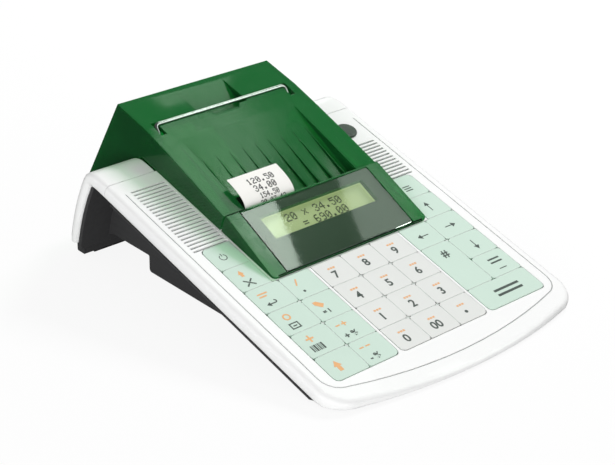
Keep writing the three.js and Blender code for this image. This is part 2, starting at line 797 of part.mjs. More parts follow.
const keys = [
  { name: 'key_shift', group: -1, column: -3, row: 1 },
  { name: 'key_barcode', group: -1, column: -3, row: 2 },
  { name: 'key_drawer', group: -1, column: -3, row: 3 },
  { name: 'key_return', group: -1, column: -3, row: 4 },
  { name: 'key_clear', group: -1, column: -3, row: 5 },
  { name: 'key_power', group: -1, column: -3, row: 6 },
  { name: 'key_discount', group: -1, column: -2, row: 1 },
  { name: 'key_markup', group: -1, column: -2, row: 2 },
  { name: 'key_price', group: -1, column: -2, row: 3 },
  { name: 'key_function', group: -1, column: -2, row: 4 },
  { name: 'key_0', group: 0, column: -1, row: 1 },
  { name: 'key_00', group: 0, column: 0, row: 1 },
  { name: 'key_point', group: 0, column: 1, row: 1 },
  { name: 'key_1', group: 0, column: -1, row: 2 },
  { name: 'key_2', group: 0, column: 0, row: 2 },
  { name: 'key_3', group: 0, column: 1, row: 2 },
  { name: 'key_4', group: 0, column: -1, row: 3 },
  { name: 'key_5', group: 0, column: 0, row: 3 },
  { name: 'key_6', group: 0, column: 1, row: 3 },
  { name: 'key_7', group: 0, column: -1, row: 4 },
  { name: 'key_8', group: 0, column: 0, row: 4 },
  { name: 'key_9', group: 0, column: 1, row: 4 },
  { name: 'key_total', group: 1, column: 2, row: 1, columns: 2 },
  { name: 'key_lookup', group: 1, column: 2, row: 2, rows: 2 },
  { name: 'key_left', group: 1, column: 2, row: 4 },
  { name: 'key_subtotal', group: 1, column: 3, row: 2 },
  { name: 'key_down', group: 1, column: 3, row: 3 },
  { name: 'key_right', group: 1, column: 3, row: 4 },
  { name: 'key_up', group: 1, column: 3, row: 5 },
  { name: 'key_menu', group: 1, column: 3, row: 6 },
];

// The key mat and the key board share one outline under the key windows
function keySheet(topN, thickness) {
  const inner = coverHalfWidth + keyField.columnGap - clearance;
  const edge = fieldHalfWidth + mat.sideMargin;
  const rear = columnTop + mat.margin;
  const step = groupTop + mat.margin - clearance;
  const shape = outline([
    [-edge, -mat.frontMargin],
    [edge, -mat.frontMargin],
    [edge, rear],
    [inner, rear],
    [inner, step],
    [-inner, step],
    [-inner, rear],
    [-edge, rear],
  ]);
  return upZ(shape, topN - thickness, topN);
}

// Display unit: a drafted wedge with a seat for the window and an opening above the glass
const displayAngle = Math.atan2(display.rearN - display.frontN, displayRearS - displayFrontS);
const panelLength = Math.hypot(display.rearN - display.frontN, displayRearS - displayFrontS);
const seatDepth = panel.thickness + clearance;

function onPanel(low, high) {
  const size = low.map((value, axis) => high[axis] - value);
  const geometry = new THREE.BoxGeometry(...size);
  geometry.translate(...low.map((value, axis) => (value + high[axis]) / 2));
  geometry.rotateX(displayAngle);
  geometry.translate(0, displayFrontS, display.frontN);
  return solid(geometry);
}

function displayHousing() {
  const points = [
    [displayFrontS, clearance],
    [displayFrontS, display.frontN],
    [displayRearS, display.rearN],
    [displayRearS, clearance],
  ];
  const wall = display.wall;
  const inner = insetOutline(points, [wall, wall + seatDepth, wall, -span]);
  const half = coverHalfWidth - display.sideStep;
  const round = display.cornerRadius;
  const plan = roundedOutline([
    [-half, displayFrontS],
    [half, displayFrontS],
    [half, displayRearS],
    [-half, displayRearS],
  ], [round, round, 0, 0]);
  const drafted = draftPrism(0, -span / 4, display.rearN + overrun, displayFrontS - overrun, displayRearS + overrun);
  const room = draftPrism(-wall, -span / 4, display.rearN + overrun, displayFrontS, displayRearS);
  const seat = panelHalfWidth + clearance;
  return acrossX(outline(points), -half, half)
    .intersect(upZ(plan, 0, display.rearN + overrun))
    .intersect(drafted)
    .subtract(acrossX(outline(inner), -half, half).intersect(room))
    .subtract(onPanel(
      [-seat, panel.frontT - clearance, -seatDepth],
      [seat, panelLength - panel.rearMargin + clearance, overrun],
    ))
    .subtract(onPanel(
      [-lcdWindowHalfWidth, lcdWindow.frontT, -seatDepth - wall - overrun],
      [lcdWindowHalfWidth, lcdWindow.rearT, 0],
    ));
}

function displayWindow() {
  return box(
    [-panelHalfWidth, panel.frontT, -panel.thickness],
    [panelHalfWidth, panelLength - panel.rearMargin, 0],
  );
}

// The glass stands up against the back wall of the display, behind its window
function lcdPanel() {
  const top = -seatDepth - display.wall - clearance;
  const low = top - lcd.thickness;
  const room = displayRearS - displayFrontS - display.wall - clearance;
  const rearT = (room + low * Math.sin(displayAngle)) / Math.cos(displayAngle);
  const glass = box(
    [-lcdWindowHalfWidth, lcdWindow.frontT, top - lcd.glassDepth],
    [lcdWindowHalfWidth, lcdWindow.rearT, overrun],
  );
  return box([-lcdHalfWidth, rearT - lcd.depth, low], [lcdHalfWidth, rearT, top]).subtract(glass);
}

// Printer cover
function coverOutline() {
  const back = new THREE.Vector2(Math.sin(cover.backAngle), -Math.cos(cover.backAngle));
  const [, lowN] = uprightLineOnDeck(cover.bottomZ, coverFrontS + cover.backRun);
  const drop = (cover.topN - lowN) / (-back.y - back.x * Math.tan(deckAngle));
  return [
    [coverFrontS, clearance],
    [coverFrontS, cover.frontTopN],
    [coverFrontS + cover.kneeRun, cover.kneeN],
    [browS, cover.browN],
    [crestS, cover.topN],
    [coverFrontS + cover.backRun, cover.topN],
    [coverFrontS + cover.backRun + back.x * drop, cover.topN + back.y * drop],
    deckOf(cover.sideRearY, cover.bottomZ),
    [coverFrontS + cover.sideRearRun, clearance],
  ];
}

// The deck place at slope distance s that lies at the upright height z
function uprightLineOnDeck(z, s) {
  return [s, (z - deckHeight) / Math.cos(deckAngle) - s * Math.tan(deckAngle)];
}

function coverBlock(points, halfWidth, wall) {
  const grown = insetOutline(points, points.map(() => -wall));
  return acrossX(outline(grown), -halfWidth - wall, halfWidth + wall);
}

function recessOutline() {
  return [
    [coverFrontS + recess.run, topAt(coverFrontS + recess.run)],
    [coverFrontS, recess.lipN],
    [coverFrontS, cover.topN + overrun],
    [coverFrontS + recess.run, cover.topN + overrun],
  ];
}

function scoopOutline() {
  return [
    [coverFrontS + scoop.rearRun, cover.topN],
    [scoopFrontS, scoop.floorN],
    [scoopFrontS, cover.topN + overrun],
    [coverFrontS + scoop.rearRun, cover.topN + overrun],
  ];
}

// Height of the cover's top over the deck at slope distance s, between brow and crest
function topAt(s) {
  const share = (s - browS) / (crestS - browS);
  return cover.browN + share * (cover.topN - cover.browN);
}

function floorAt(s) {
  const share = (s - coverFrontS) / (coverFrontS + recess.run - coverFrontS);
  return recess.lipN + share * (topAt(coverFrontS + recess.run) - recess.lipN);
}

function coverRibs() {
  const points = [
    [coverFrontS + rib.run, floorAt(coverFrontS + rib.run)],
    [coverFrontS, floorAt(coverFrontS) + rib.height],
    [coverFrontS, floorAt(coverFrontS) - cover.wall / 4],
    [coverFrontS + rib.run, floorAt(coverFrontS + rib.run) - cover.wall / 4],
  ];
  const ribs = [];
  for (let index = 0; index < ribCount; index += 1) {
    const x = (index - (ribCount - 1) / 2) * rib.spacing;
    ribs.push(acrossX(outline(points), x - rib.width / 2, x + rib.width / 2));
  }
  return joined(ribs);
}

function printerCover() {
  const points = coverOutline();
  const wall = cover.wall;
  const backS = points[6][0];
  const backN = points[6][1];
  const draft = (growth) => draftPrism(growth, backN - overrun, cover.topN + overrun, coverFrontS - overrun, backS + overrun);
  const outer = acrossX(outline(points), -span / 4, span / 4).intersect(draft(0));
  const open = -2 * overrun;
  const inner = insetOutline(points, [wall, wall, wall, wall, wall, wall, open, open, open]);
  const shell = outer.subtract(acrossX(outline(inner), -span / 4, span / 4).intersect(draft(-wall)));
  const recessVoid = acrossX(
    outline(insetOutline(recessOutline(), [0, -overrun, 0, 0])), -recessHalfWidth, recessHalfWidth);
  const scoopVoid = acrossX(outline(scoopOutline()), -scoop.halfWidth, scoop.halfWidth);
  const notch = scoopNotch;
  const notchVoid = upZ(outline([
    [-notch.halfWidth, scoopFrontS + overrun / 4],
    [-notch.halfWidth, scoopFrontS],
    [-notch.tipHalfWidth, scoopFrontS - notch.length],
    [notch.tipHalfWidth, scoopFrontS - notch.length],
    [notch.halfWidth, scoopFrontS],
    [notch.halfWidth, scoopFrontS + overrun / 4],
  ]), topAt(scoopFrontS - notch.length) - notch.depth, cover.topN + overrun);
  const notchBlock = box(
    [-notch.halfWidth - scoop.wall, scoopFrontS - notch.length - scoop.wall, cover.topN - notch.block],
    [notch.halfWidth + scoop.wall, scoopFrontS, cover.topN],
  );
  const solidParts = joined([
    coverBlock(recessOutline(), recessHalfWidth, wall),
    coverBlock(scoopOutline(), scoop.halfWidth, scoop.wall),
    notchBlock,
    bailLugs(),
    hingeLugs(),
  ]).intersect(outer);
  const body = shell.add(solidParts).subtract(recessVoid).subtract(scoopVoid).subtract(notchVoid);
  return body.add(coverRibs()).subtract(bailRoom()).subtract(hingeBores());
}

function bailLugs() {
  const hole = bail.radius + clearance;
  const reach = hole + bailSlot.lugWall;
  const inner = bailHalfLength + bail.radius + bailSlot.sideGap;
  return joined([-1, 1].map((side) => {
    const x = [side * inner, side * (coverHalfWidth - cover.wall / 4)].sort((a, b) => a - b);
    return box([x[0], bailPivotS - reach, bail.pivotN - reach], [x[1], bailPivotS + reach, cover.topN]);
  }));
}

// The groove under the bar, the slots for the bail's legs and the bores for its ends
function bailRoom() {
  const reach = bail.radius + bailSlot.sideGap;
  const groove = rodX(-bailHalfLength, bailHalfLength, bailBarS, bail.barN, bail.radius + bailSlot.grooveGap, 16);
  const sides = [-1, 1].flatMap((side) => {
    const x = side * bailHalfLength;
    const end = side * (bailHalfLength + bail.stub + clearance);
    return [
      box(
        [x - reach, bailPivotS - bail.radius - bailSlot.frontGap, bail.pivotN - bail.radius - overrun],
        [x + reach, bailBarS + bail.radius + bailSlot.rearGap, cover.topN + overrun],
      ),
      rodX(Math.min(x, end), Math.max(x, end), bailPivotS, bail.pivotN, bail.radius + clearance, 16),
    ];
  });
  return joined([groove, ...sides]);
}

function hingePlace() {
  return deckOf(hinge.y, hinge.z);
}

function hingeLugs() {
  const [s, n] = hingePlace();
  return joined([-1, 1].flatMap((side) => {
    const x = [side * lugInnerX, side * (lugInnerX + hingeLug.thickness)].sort((a, b) => a - b);
    return [
      rodX(x[0], x[1], s, n, hinge.lugRadius),
      box([x[0], s, n - hinge.lugRadius], [x[1], s + 2 * hinge.lugRadius, n + hinge.lugRadius]),
    ];
  }));
}

function hingeBores() {
  const [s, n] = hingePlace();
  return joined([-1, 1].map((side) => {
    const x = [side * earInnerX, side * (lugInnerX + hingeLug.thickness + overrun / 4)];
    x.sort((a, b) => a - b);
    return rodX(x[0], x[1], s, n, hinge.pinRadius + clearance);
  }));
}

// Steel bail: a bar, two short legs and two ends that turn in the cover
function bailHandle() {
  const corners = [
    [-bailHalfLength - bail.stub, bailPivotS, bail.pivotN],
    [-bailHalfLength, bailPivotS, bail.pivotN],
    [-bailHalfLength, bailBarS, bail.barN],
    [bailHalfLength, bailBarS, bail.barN],
    [bailHalfLength, bailPivotS, bail.pivotN],
    [bailHalfLength + bail.stub, bailPivotS, bail.pivotN],
  ].map((place) => new THREE.Vector3(...place));
  const path = new THREE.CurvePath();
  let last = corners[0];
  corners.slice(1, -1).forEach((corner, index) => {
    const enter = corners[index].clone().sub(corner).setLength(bail.bend).add(corner);
    const leave = corners[index + 2].clone().sub(corner).setLength(bail.bend).add(corner);
    path.add(new THREE.LineCurve3(last, enter));
    path.add(new THREE.QuadraticBezierCurve3(enter, corner, leave));
    last = leave;
  });
  path.add(new THREE.LineCurve3(last, corners[corners.length - 1]));
  const section = [];
  for (let index = 0; index < 8; index += 1) {
    const angle = (index / 8) * Math.PI * 2;
    section.push([bail.radius * Math.cos(angle), bail.radius * Math.sin(angle)]);
  }
  const geometry = new THREE.ExtrudeGeometry(outline(section), { steps: 64, extrudePath: path, bevelEnabled: false });
  return solid(geometry);
}

// Paper
function paperRoll() {
  const outer = rodX(paperLeftX, paperRightX, roll.y, roll.z, roll.radius, 2 * roundSteps);
  return outer.subtract(rodX(paperLeftX - overrun, paperRightX + overrun, roll.y, roll.z, roll.coreRadius));
}

function paperWeb() {
  const wrap = platen.radius + paper.gap + paper.thickness / 2;
  const around = roll.radius + paper.gap + paper.thickness / 2;
  const reach = Math.hypot(roll.y - platen.y, roll.z - platen.z);
  const run = Math.atan2(roll.z - platen.z, roll.y - platen.y) + Math.asin((wrap + around) / reach);
  const [slotY, slotZ] = uprightOf((displayRearS + coverFrontS) / 2, 0);
  const toSlot = Math.hypot(slotY - platen.y, slotZ - platen.z);
  const exit = Math.atan2(slotZ - platen.z, slotY - platen.y) + Math.acos(wrap / toSlot) - 2 * Math.PI;
  const enter = run - Math.PI / 2;
  const path = [angled(roll, around, run + Math.PI / 2)];
  const count = 2 * arcSteps;
  for (let index = 0; index <= count; index += 1) {
    path.push(angled(platen, wrap, enter + ((exit - enter) * index) / count));
  }
  path.push(new THREE.Vector2(slotY, slotZ));
  return ribbon(path, paper.thickness, paperLeftX, paperRightX);
}

function ticketStrip() {
  const s = (displayRearS + coverFrontS) / 2;
  const rise = new THREE.Vector2(s, ticket.startN);
  const turn = new THREE.QuadraticBezierCurve(
    new THREE.Vector2(s, ticket.bendN),
    new THREE.Vector2(s, ticket.turnN),
    new THREE.Vector2(coverFrontS + ticket.endRun, ticket.endN),
  );
  const path = [rise, ...turn.getPoints(2 * arcSteps)];
  return ribbon(path, paper.thickness, paperLeftX, paperRightX);
}

// Printer chassis, thermal head, platen and gears
const leftCheekX = paperLeftX - cheek.gap - cheek.thickness;
const rightCheekX = paperRightX + cheek.gap;
const gearLowX = rightCheekX + cheek.thickness + clearance;
const gearHighX = gearLowX + train.width;
const plateLowX = gearHighX + clearance;
const plateHighX = plateLowX + motorPlate.thickness;
const pitchRadius = (count) => (train.module * count) / 2;
const idler = angled(platen, pitchRadius(teeth.platen) + pitchRadius(teeth.idler), idlerAngle);
const pinion = new THREE.Vector2(
  idler.x + (pitchRadius(teeth.idler) + pitchRadius(teeth.pinion)) * Math.cos(pinionAngle),
  idler.y + (pitchRadius(teeth.idler) + pitchRadius(teeth.pinion)) * Math.sin(pinionAngle),
);

function printerFrame() {
  const beamHalfWidth = base.halfWidth - base.wall - clearance;
  const side = outline([
    [cheek.frontY, cheek.bottomZ],
    [beam.y + beam.depth, cheek.bottomZ],
    [beam.y + beam.depth, cheek.rearZ],
    [cheek.shoulderY, cheek.shoulderZ],
    [cheek.noseY, cheek.noseZ],
    [cheek.frontY, cheek.frontZ],
  ]);
  const top = pinion.y + motor.radius + motorPlate.margin;
  const plate = box(
    [plateLowX, pinion.x - motor.radius, beam.bottomZ],
    [plateHighX, beam.y + beam.depth, top],
  );
  const tie = box(
    [-beamHalfWidth, beam.y, beam.bottomZ],
    [beamHalfWidth, beam.y + beam.depth, beam.bottomZ + beam.height],
  );
  const pin = rodX(rightCheekX, gearHighX, idler.x, idler.y, train.pinRadius, 16);
  return joined([
    acrossX(side, leftCheekX, leftCheekX + cheek.thickness),
    acrossX(side, rightCheekX, rightCheekX + cheek.thickness),
    plate,
    tie,
    pin,
  ])
    .subtract(rodX(leftCheekX - overrun, rightCheekX + cheek.thickness + clearance / 2, platen.y, platen.z,
      platen.shaftRadius + clearance, 16))
    .subtract(rodX(plateLowX - clearance / 2, plateHighX + overrun, pinion.x, pinion.y,
      motor.shaftRadius + clearance, 16));
}

function thermalHead() {
  const near = platen.radius + 2 * paper.gap + paper.thickness;
  const out = new THREE.Vector2(Math.cos(nipAngle), Math.sin(nipAngle));
  const along = new THREE.Vector2(-out.y, out.x);
  const centre = new THREE.Vector2(platen.y, platen.z);
  const corners = [[near, -1], [near, 1], [near + head.thickness, 1], [near + head.thickness, -1]];
  const points = corners.map(([distance, side]) => {
    const place = centre.clone().addScaledVector(out, distance).addScaledVector(along, (side * head.length) / 2);
    return [place.x, place.y];
  });
  const low = leftCheekX + cheek.thickness + clearance;
  return acrossX(outline(points), low, rightCheekX - clearance);
}

function platenRoller() {
  const low = paperLeftX - platen.overhang;
  const high = paperRightX + platen.overhang;
  const shaft = rodX(leftCheekX - clearance, gearHighX, platen.y, platen.z, platen.shaftRadius, 16);
  return rodX(low, high, platen.y, platen.z, platen.radius).add(shaft);
}

// A spur gear's outline about its own centre, with a tooth's middle at the phase angle
function gearOutline(count, phase) {
  const radius = pitchRadius(count);
  const tip = radius + tipShare * train.module;
  const root = radius - rootShare * train.module;
  const halfTooth = (Math.PI * train.module) / 4 - train.backlash / 2;
  const flank = Math.tan(pressureAngle);
  const points = [];
  for (let index = 0; index < count; index += 1) {
    const middle = phase + (index / count) * Math.PI * 2;
    for (const [distance, side] of [[root, -1], [tip, -1], [tip, 1], [root, 1]]) {
      const half = halfTooth - (distance - radius) * flank;
      const angle = middle + (side * half) / distance;
      points.push([distance * Math.cos(angle), distance * Math.sin(angle)]);
    }
  }
  return points;
}

function gear(count, phase, centre) {
  const points = gearOutline(count, phase).map(([y, z]) => [y + centre.x, z + centre.y]);
  return acrossX(outline(points), gearLowX, gearHighX);
}

const idlerPhase = idlerAngle + Math.PI + Math.PI / teeth.idler;
const idlerStep = (2 * Math.PI) / teeth.idler;
const idlerLag = (pinionAngle - idlerPhase) % idlerStep;
const pinionPhase = pinionAngle + Math.PI + Math.PI / teeth.pinion + (idlerLag * teeth.idler) / teeth.pinion;

function platenGear() {
  const bore = rodX(gearLowX - overrun, gearHighX + overrun, platen.y, platen.z, platen.shaftRadius + clearance / 2, 16);
  return gear(teeth.platen, idlerAngle, new THREE.Vector2(platen.y, platen.z)).subtract(bore);
}

function idlerGear() {
  const bore = rodX(gearLowX - overrun, gearHighX + overrun, idler.x, idler.y, train.pinRadius + clearance, 16);
  return gear(teeth.idler, idlerPhase, idler).subtract(bore);
}

function motorPinion() {
  const shaft = rodX(gearLowX, plateHighX, pinion.x, pinion.y, motor.shaftRadius, 16);
  return gear(teeth.pinion, pinionPhase, pinion).add(shaft);
}

function stepperMotor() {
  const low = plateHighX + clearance;
  return rodX(low, low + motor.length, pinion.x, pinion.y, motor.radius);
}

// Boards, sockets and the key reader
function mainBoardBody() {
  const board = mainBoard;
  const top = board.bottomZ + board.thickness;
  const half = base.halfWidth - board.sideGap;
  const plate = box([-half, board.frontY, board.bottomZ], [half, board.rearY, top]);
  const chips = chipPlaceShares.map((share) => {
    const x = share * half;
    return box([x - chip.width / 2, chip.y - chip.depth / 2, board.bottomZ],
      [x + chip.width / 2, chip.y + chip.depth / 2, top + chip.height]);
  });
  return joined([plate, ...chips]);
}

function socketBlock(socket) {
  const high = base.halfWidth + socket.proud;
  return box(
    [high - socket.depth, socket.y - socket.width / 2, socket.z - socket.height / 2],
    [high, socket.y + socket.width / 2, socket.z + socket.height / 2],
  );
}

function powerInlet() {
  const high = base.halfWidth + inlet.proud;
  const mouth = rodX(high - socketMouth.depth, high + overrun, inlet.y, inlet.z, inlet.boreRadius, 20);
  const pin = rodX(high - socketMouth.depth, high - inlet.pinRadius, inlet.y, inlet.z, inlet.pinRadius, 12);
  return socketBlock(inlet).subtract(mouth.subtract(pin));
}

function dataPort() {
  const high = base.halfWidth + port.proud;
  return socketBlock(port).subtract(box(
    [high - socketMouth.depth, port.y - port.mouthWidth / 2, port.z - port.mouthHeight / 2],
    [high + overrun, port.y + port.mouthWidth / 2, port.z + port.mouthHeight / 2],
  ));
}

function keyReader() {
  const low = clearance;
  const high = low + reader.height;
  const lip = reader.rim / 2;
  const profile = [
    [0, low - reader.stemLength],
    [reader.stemRadius, low - reader.stemLength],
    [reader.stemRadius, low],
    [reader.radius, low],
    [reader.radius, high - lip],
    [reader.radius - lip / 2, high],
    [reader.radius - reader.rim, high],
    [reader.radius - reader.rim - lip, high - reader.dish],
    [0, high - reader.dish],
  ].map(([radius, height]) => new THREE.Vector2(radius, height));
  const geometry = new THREE.LatheGeometry(profile, roundSteps);
  geometry.rotateX(Math.PI / 2);
  geometry.translate(readerX, reader.s, 0);
  return solid(geometry);
}

// Materials and the scene graph
function finish(color, roughness, metalness = 0) {
  return { color, roughness, metalness };
}

const finishes = {
  whiteCase: finish(0xf0f1f2, 0.3),
  darkBase: finish(0x333436, 0.6),
  rubber: finish(0x1b1b1c, 0.9),
  greenCover: finish(0x1f5a34, 0.2),
  window: finish(0x2a4233, 0.1),
  lcd: finish(0xb4cf62, 0.4),
  mintKey: finish(0xcfe4d8, 0.5),
  greyKey: finish(0xe1e1e1, 0.5),
  keyMat: finish(0xc8ccc9, 0.8),
  board: finish(0x1c5a3a, 0.5),
  steel: finish(0xd5d7d9, 0.2, 1),
  blackPlastic: finish(0x232426, 0.5),
  gearPlastic: finish(0xe9e4d4, 0.5),
  motorCan: finish(0xb2b5b8, 0.35, 1),
  paper: finish(0xf8f8f5, 0.9),
  battery: finish(0x2d5a8a, 0.4),
};

function part(name, body, look, parent) {
  const mesh = new THREE.Mesh(geometryOf(body), new THREE.MeshStandardMaterial(finishes[look]));
  mesh.name = name;
  parent.add(mesh);
}

const register = new THREE.Group();
const deck = new THREE.Group();
deck.position.z = deckHeight;
deck.rotation.x = deckAngle;
const displayFace = new THREE.Group();
displayFace.position.set(0, displayFrontS, display.frontN);
displayFace.rotation.x = displayAngle;
deck.add(displayFace);
register.add(deck);

part('top_case', topCase(), 'whiteCase', deck);
part('rear_shell', rearShell(), 'whiteCase', deck);
keys.forEach((place) => part(place.name, keyCap(place), place.group === 0 ? 'greyKey' : 'mintKey', deck));
part('key_mat', keySheet(mat.topN, mat.thickness), 'keyMat', deck);
part('key_board', keySheet(keyBoard.topN, keyBoard.thickness), 'board', deck);
part('key_reader', keyReader(), 'blackPlastic', deck);
part('display_housing', displayHousing(), 'greenCover', deck);
part('display_window', displayWindow(), 'window', displayFace);
part('lcd_panel', lcdPanel(), 'lcd', displayFace);
part('printer_cover', printerCover(), 'greenCover', deck);
part('bail_handle', bailHandle(), 'steel', deck);
part('ticket', ticketStrip(), 'paper', deck);

part('base_case', baseCase(), 'darkBase', register);
part('battery_door', batteryDoor(), 'darkBase', register);
part('battery_pack', batteryPack(), 'battery', register);
for (const [side, name] of [[-1, 'left'], [1, 'right']]) {
  part(`front_foot_${name}`, rodZ(side * (base.halfWidth - pad.inset), pad.y, 0, pad.height, pad.radius), 'rubber', register);
  const x = side * (base.footHalfWidth - rearPad.inset);
  const low = [x - rearPad.halfLength, rearPad.y - rearPad.depth / 2, 0];
  const high = [x + rearPad.halfLength, rearPad.y + rearPad.depth / 2, pad.height];
  part(`rear_foot_${name}`, box(low, high), 'rubber', register);
}
part('main_board', mainBoardBody(), 'board', register);
part('printer_frame', printerFrame(), 'steel', register);
part('thermal_head', thermalHead(), 'gearPlastic', register);
part('platen_roller', platenRoller(), 'rubber', register);
part('platen_gear', platenGear(), 'gearPlastic', register);
part('idler_gear', idlerGear(), 'gearPlastic', register);
part('motor_pinion', motorPinion(), 'steel', register);
part('stepper_motor', stepperMotor(), 'motorCan', register);
part('paper_roll', paperRoll(), 'paper', register);
part('paper_web', paperWeb(), 'paper', register);
part('power_inlet', powerInlet(), 'blackPlastic', register);
part('data_port', dataPort(), 'blackPlastic', register);

// The origin goes to the middle of the footprint
register.updateMatrixWorld(true);
const bounds = new THREE.Box3().setFromObject(register);
register.position.y = -(bounds.min.y + bounds.max.y) / 2;

export default register;
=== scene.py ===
# %% [markdown]
# # A small ticket register
#
# The object is a portable ticket register: a white sloping deck with soft keys, a green see-through printer
# cover, a raised display unit and a dark base. Its solid parts come from a CAD model with joints, so this
# lesson doesn't model the body again. It dresses that model: finishes for every part, print on the keys, the
# screen and the ticket, and finer pieces where a plain solid would look too simple. Everything is in metres.

import json
import math

import bmesh
import bpy
from mathutils import Matrix, Quaternion, Vector

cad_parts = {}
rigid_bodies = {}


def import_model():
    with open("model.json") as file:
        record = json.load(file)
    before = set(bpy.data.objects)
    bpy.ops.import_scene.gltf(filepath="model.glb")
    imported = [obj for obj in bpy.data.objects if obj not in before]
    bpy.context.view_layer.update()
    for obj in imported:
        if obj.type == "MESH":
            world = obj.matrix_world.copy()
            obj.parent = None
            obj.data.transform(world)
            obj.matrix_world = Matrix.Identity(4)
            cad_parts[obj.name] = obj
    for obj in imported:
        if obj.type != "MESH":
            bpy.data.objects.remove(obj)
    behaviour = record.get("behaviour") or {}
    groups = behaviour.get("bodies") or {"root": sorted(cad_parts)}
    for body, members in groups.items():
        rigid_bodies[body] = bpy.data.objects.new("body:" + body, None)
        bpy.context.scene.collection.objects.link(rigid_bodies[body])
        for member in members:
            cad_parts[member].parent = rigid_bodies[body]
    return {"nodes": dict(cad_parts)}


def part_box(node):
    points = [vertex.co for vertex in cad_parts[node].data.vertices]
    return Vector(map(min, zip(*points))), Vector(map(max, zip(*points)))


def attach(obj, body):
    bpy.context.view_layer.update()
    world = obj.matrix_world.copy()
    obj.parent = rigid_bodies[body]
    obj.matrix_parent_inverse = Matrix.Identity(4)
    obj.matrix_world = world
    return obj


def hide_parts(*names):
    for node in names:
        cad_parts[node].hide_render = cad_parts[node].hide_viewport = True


for leftover in list(bpy.data.objects):
    bpy.data.objects.remove(leftover)

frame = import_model()
bpy.context.view_layer.update()
MM = 0.001

# %% [markdown]
# ## Camera
#
# The photograph looks down on the front left corner of the register with a long lens, so far edges hardly
# shrink. The camera could be placed by eye, but then every later comparison would be off. Here its place was
# solved from the grid of keys, whose rows and columns are evenly spaced, and it is written down as numbers.
# The deck's own axes start a little in front of the front pads, so the camera keeps its place when the base
# changes.

# %% Place the camera
pad_low, pad_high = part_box("front_foot_left")
pad_setback = 12
front_y = (pad_low.y + pad_high.y) / 2 - pad_setback * MM

camera_place = Vector((-446.808 * MM, front_y - 404.606 * MM, 354.835 * MM))
camera_aim = Vector((-14.129 * MM, front_y + 72.238 * MM, 30 * MM))
camera_roll = math.radians(1.2976)


def add_object(name, data):
    thing = bpy.data.objects.new(name, data)
    bpy.context.collection.objects.link(thing)
    return thing


camera = add_object("camera", bpy.data.cameras.new("camera"))
camera.data.sensor_width = 36
camera.data.lens = 97.464
camera.data.clip_start = 0.01
camera.location = camera_place
camera.rotation_mode = "QUATERNION"
look = (camera_aim - camera_place).to_track_quat("-Z", "Y")
camera.rotation_quaternion = look @ Quaternion((0, 0, 1), camera_roll)
bpy.context.scene.camera = camera
bpy.context.scene.view_settings.view_transform = "Standard"
print("camera to aim:", round((camera_aim - camera_place).length / MM), "mm")

# %% [markdown]
# ## Measuring along the slope
#
# Keys, screen and ticket all lie on surfaces that slope. Adding sines to each number by hand is easy to get
# wrong. Two matrices do it once: one for the deck, which rises 15 degrees to the back, and one for the
# display panel, which is steeper still. A point is then written as (across, up the slope, out of the
# surface) in millimetres.

# %% Matrices of the deck and the display panel
deck_slope = math.radians(15)
deck_height = 7.35
deck_matrix = Matrix.Translation((0, front_y, deck_height * MM)) @ Matrix.Rotation(deck_slope, 4, "X")

display_front = (60.2, 1.0)
display_rear = (96.2, 8.5)
panel_tilt = math.atan2(display_rear[1] - display_front[1], display_rear[0] - display_front[0])
panel_origin = Matrix.Translation((0, display_front[0] * MM, display_front[1] * MM))
panel_matrix = deck_matrix @ panel_origin @ Matrix.Rotation(panel_tilt, 4, "X")


def on_deck(across, slope, out):
    return deck_matrix @ (Vector((across, slope, out)) * MM)


def on_panel(across, up, out):
    return panel_matrix @ (Vector((across, up, out)) * MM)


def mirrored(place, tilt, distance):
    """Where the camera's ray goes after it meets a mirror at place, tilted over the deck, and has gone on."""
    facing = Matrix.Rotation(deck_slope + tilt, 4, "X") @ Vector((0, 0, 1))
    view = (place - camera_place).normalized()
    return place + (view - 2 * view.dot(facing) * facing) * distance


print("panel tilt over the deck:", round(math.degrees(panel_tilt), 2), "degrees")

# %% [markdown]
# ## Building with nodes
#
# Finishes and smoothing are both made of nodes. Setting each socket and drawing each link on a line of its
# own would hide what a finish is. Short helpers do it. One feeds named inputs: another node's output is
# linked, and a plain value stays on the socket. One adds a node with its settings, and one adds a math node.

# %% Add a node and feed its inputs
def feed(tree, node, inputs):
    for name, value in inputs.items():
        if isinstance(value, bpy.types.NodeSocket):
            tree.links.new(value, node.inputs[name])
        else:
            node.inputs[name].default_value = value


def add_node(tree, kind, inputs=None, **settings):
    node = tree.nodes.new(kind)
    for name, value in settings.items():
        setattr(node, name, value)
    feed(tree, node, inputs or {})
    return node


def math_node(tree, operation, first, second=None, clamp=False):
    inputs = {0: first} if second is None else {0: first, 1: second}
    return add_node(tree, "ShaderNodeMath", inputs, operation=operation, use_clamp=clamp).outputs[0]


# %% [markdown]
# ## Smooth curves on the CAD parts
#
# A CAD file arrives as loose flat triangles, so a round foot shows facets. Marking every face smooth would
# blur the sharp edges as well. A small geometry node group does what is wanted: it joins the triangles, then
# smooths only edges that bend less than a set angle. A weighted normal modifier after it keeps the large
# faces flat.

# %% Smooth by angle, as a modifier
join_distance = 0.002 * MM
gentle_bend = math.radians(28)


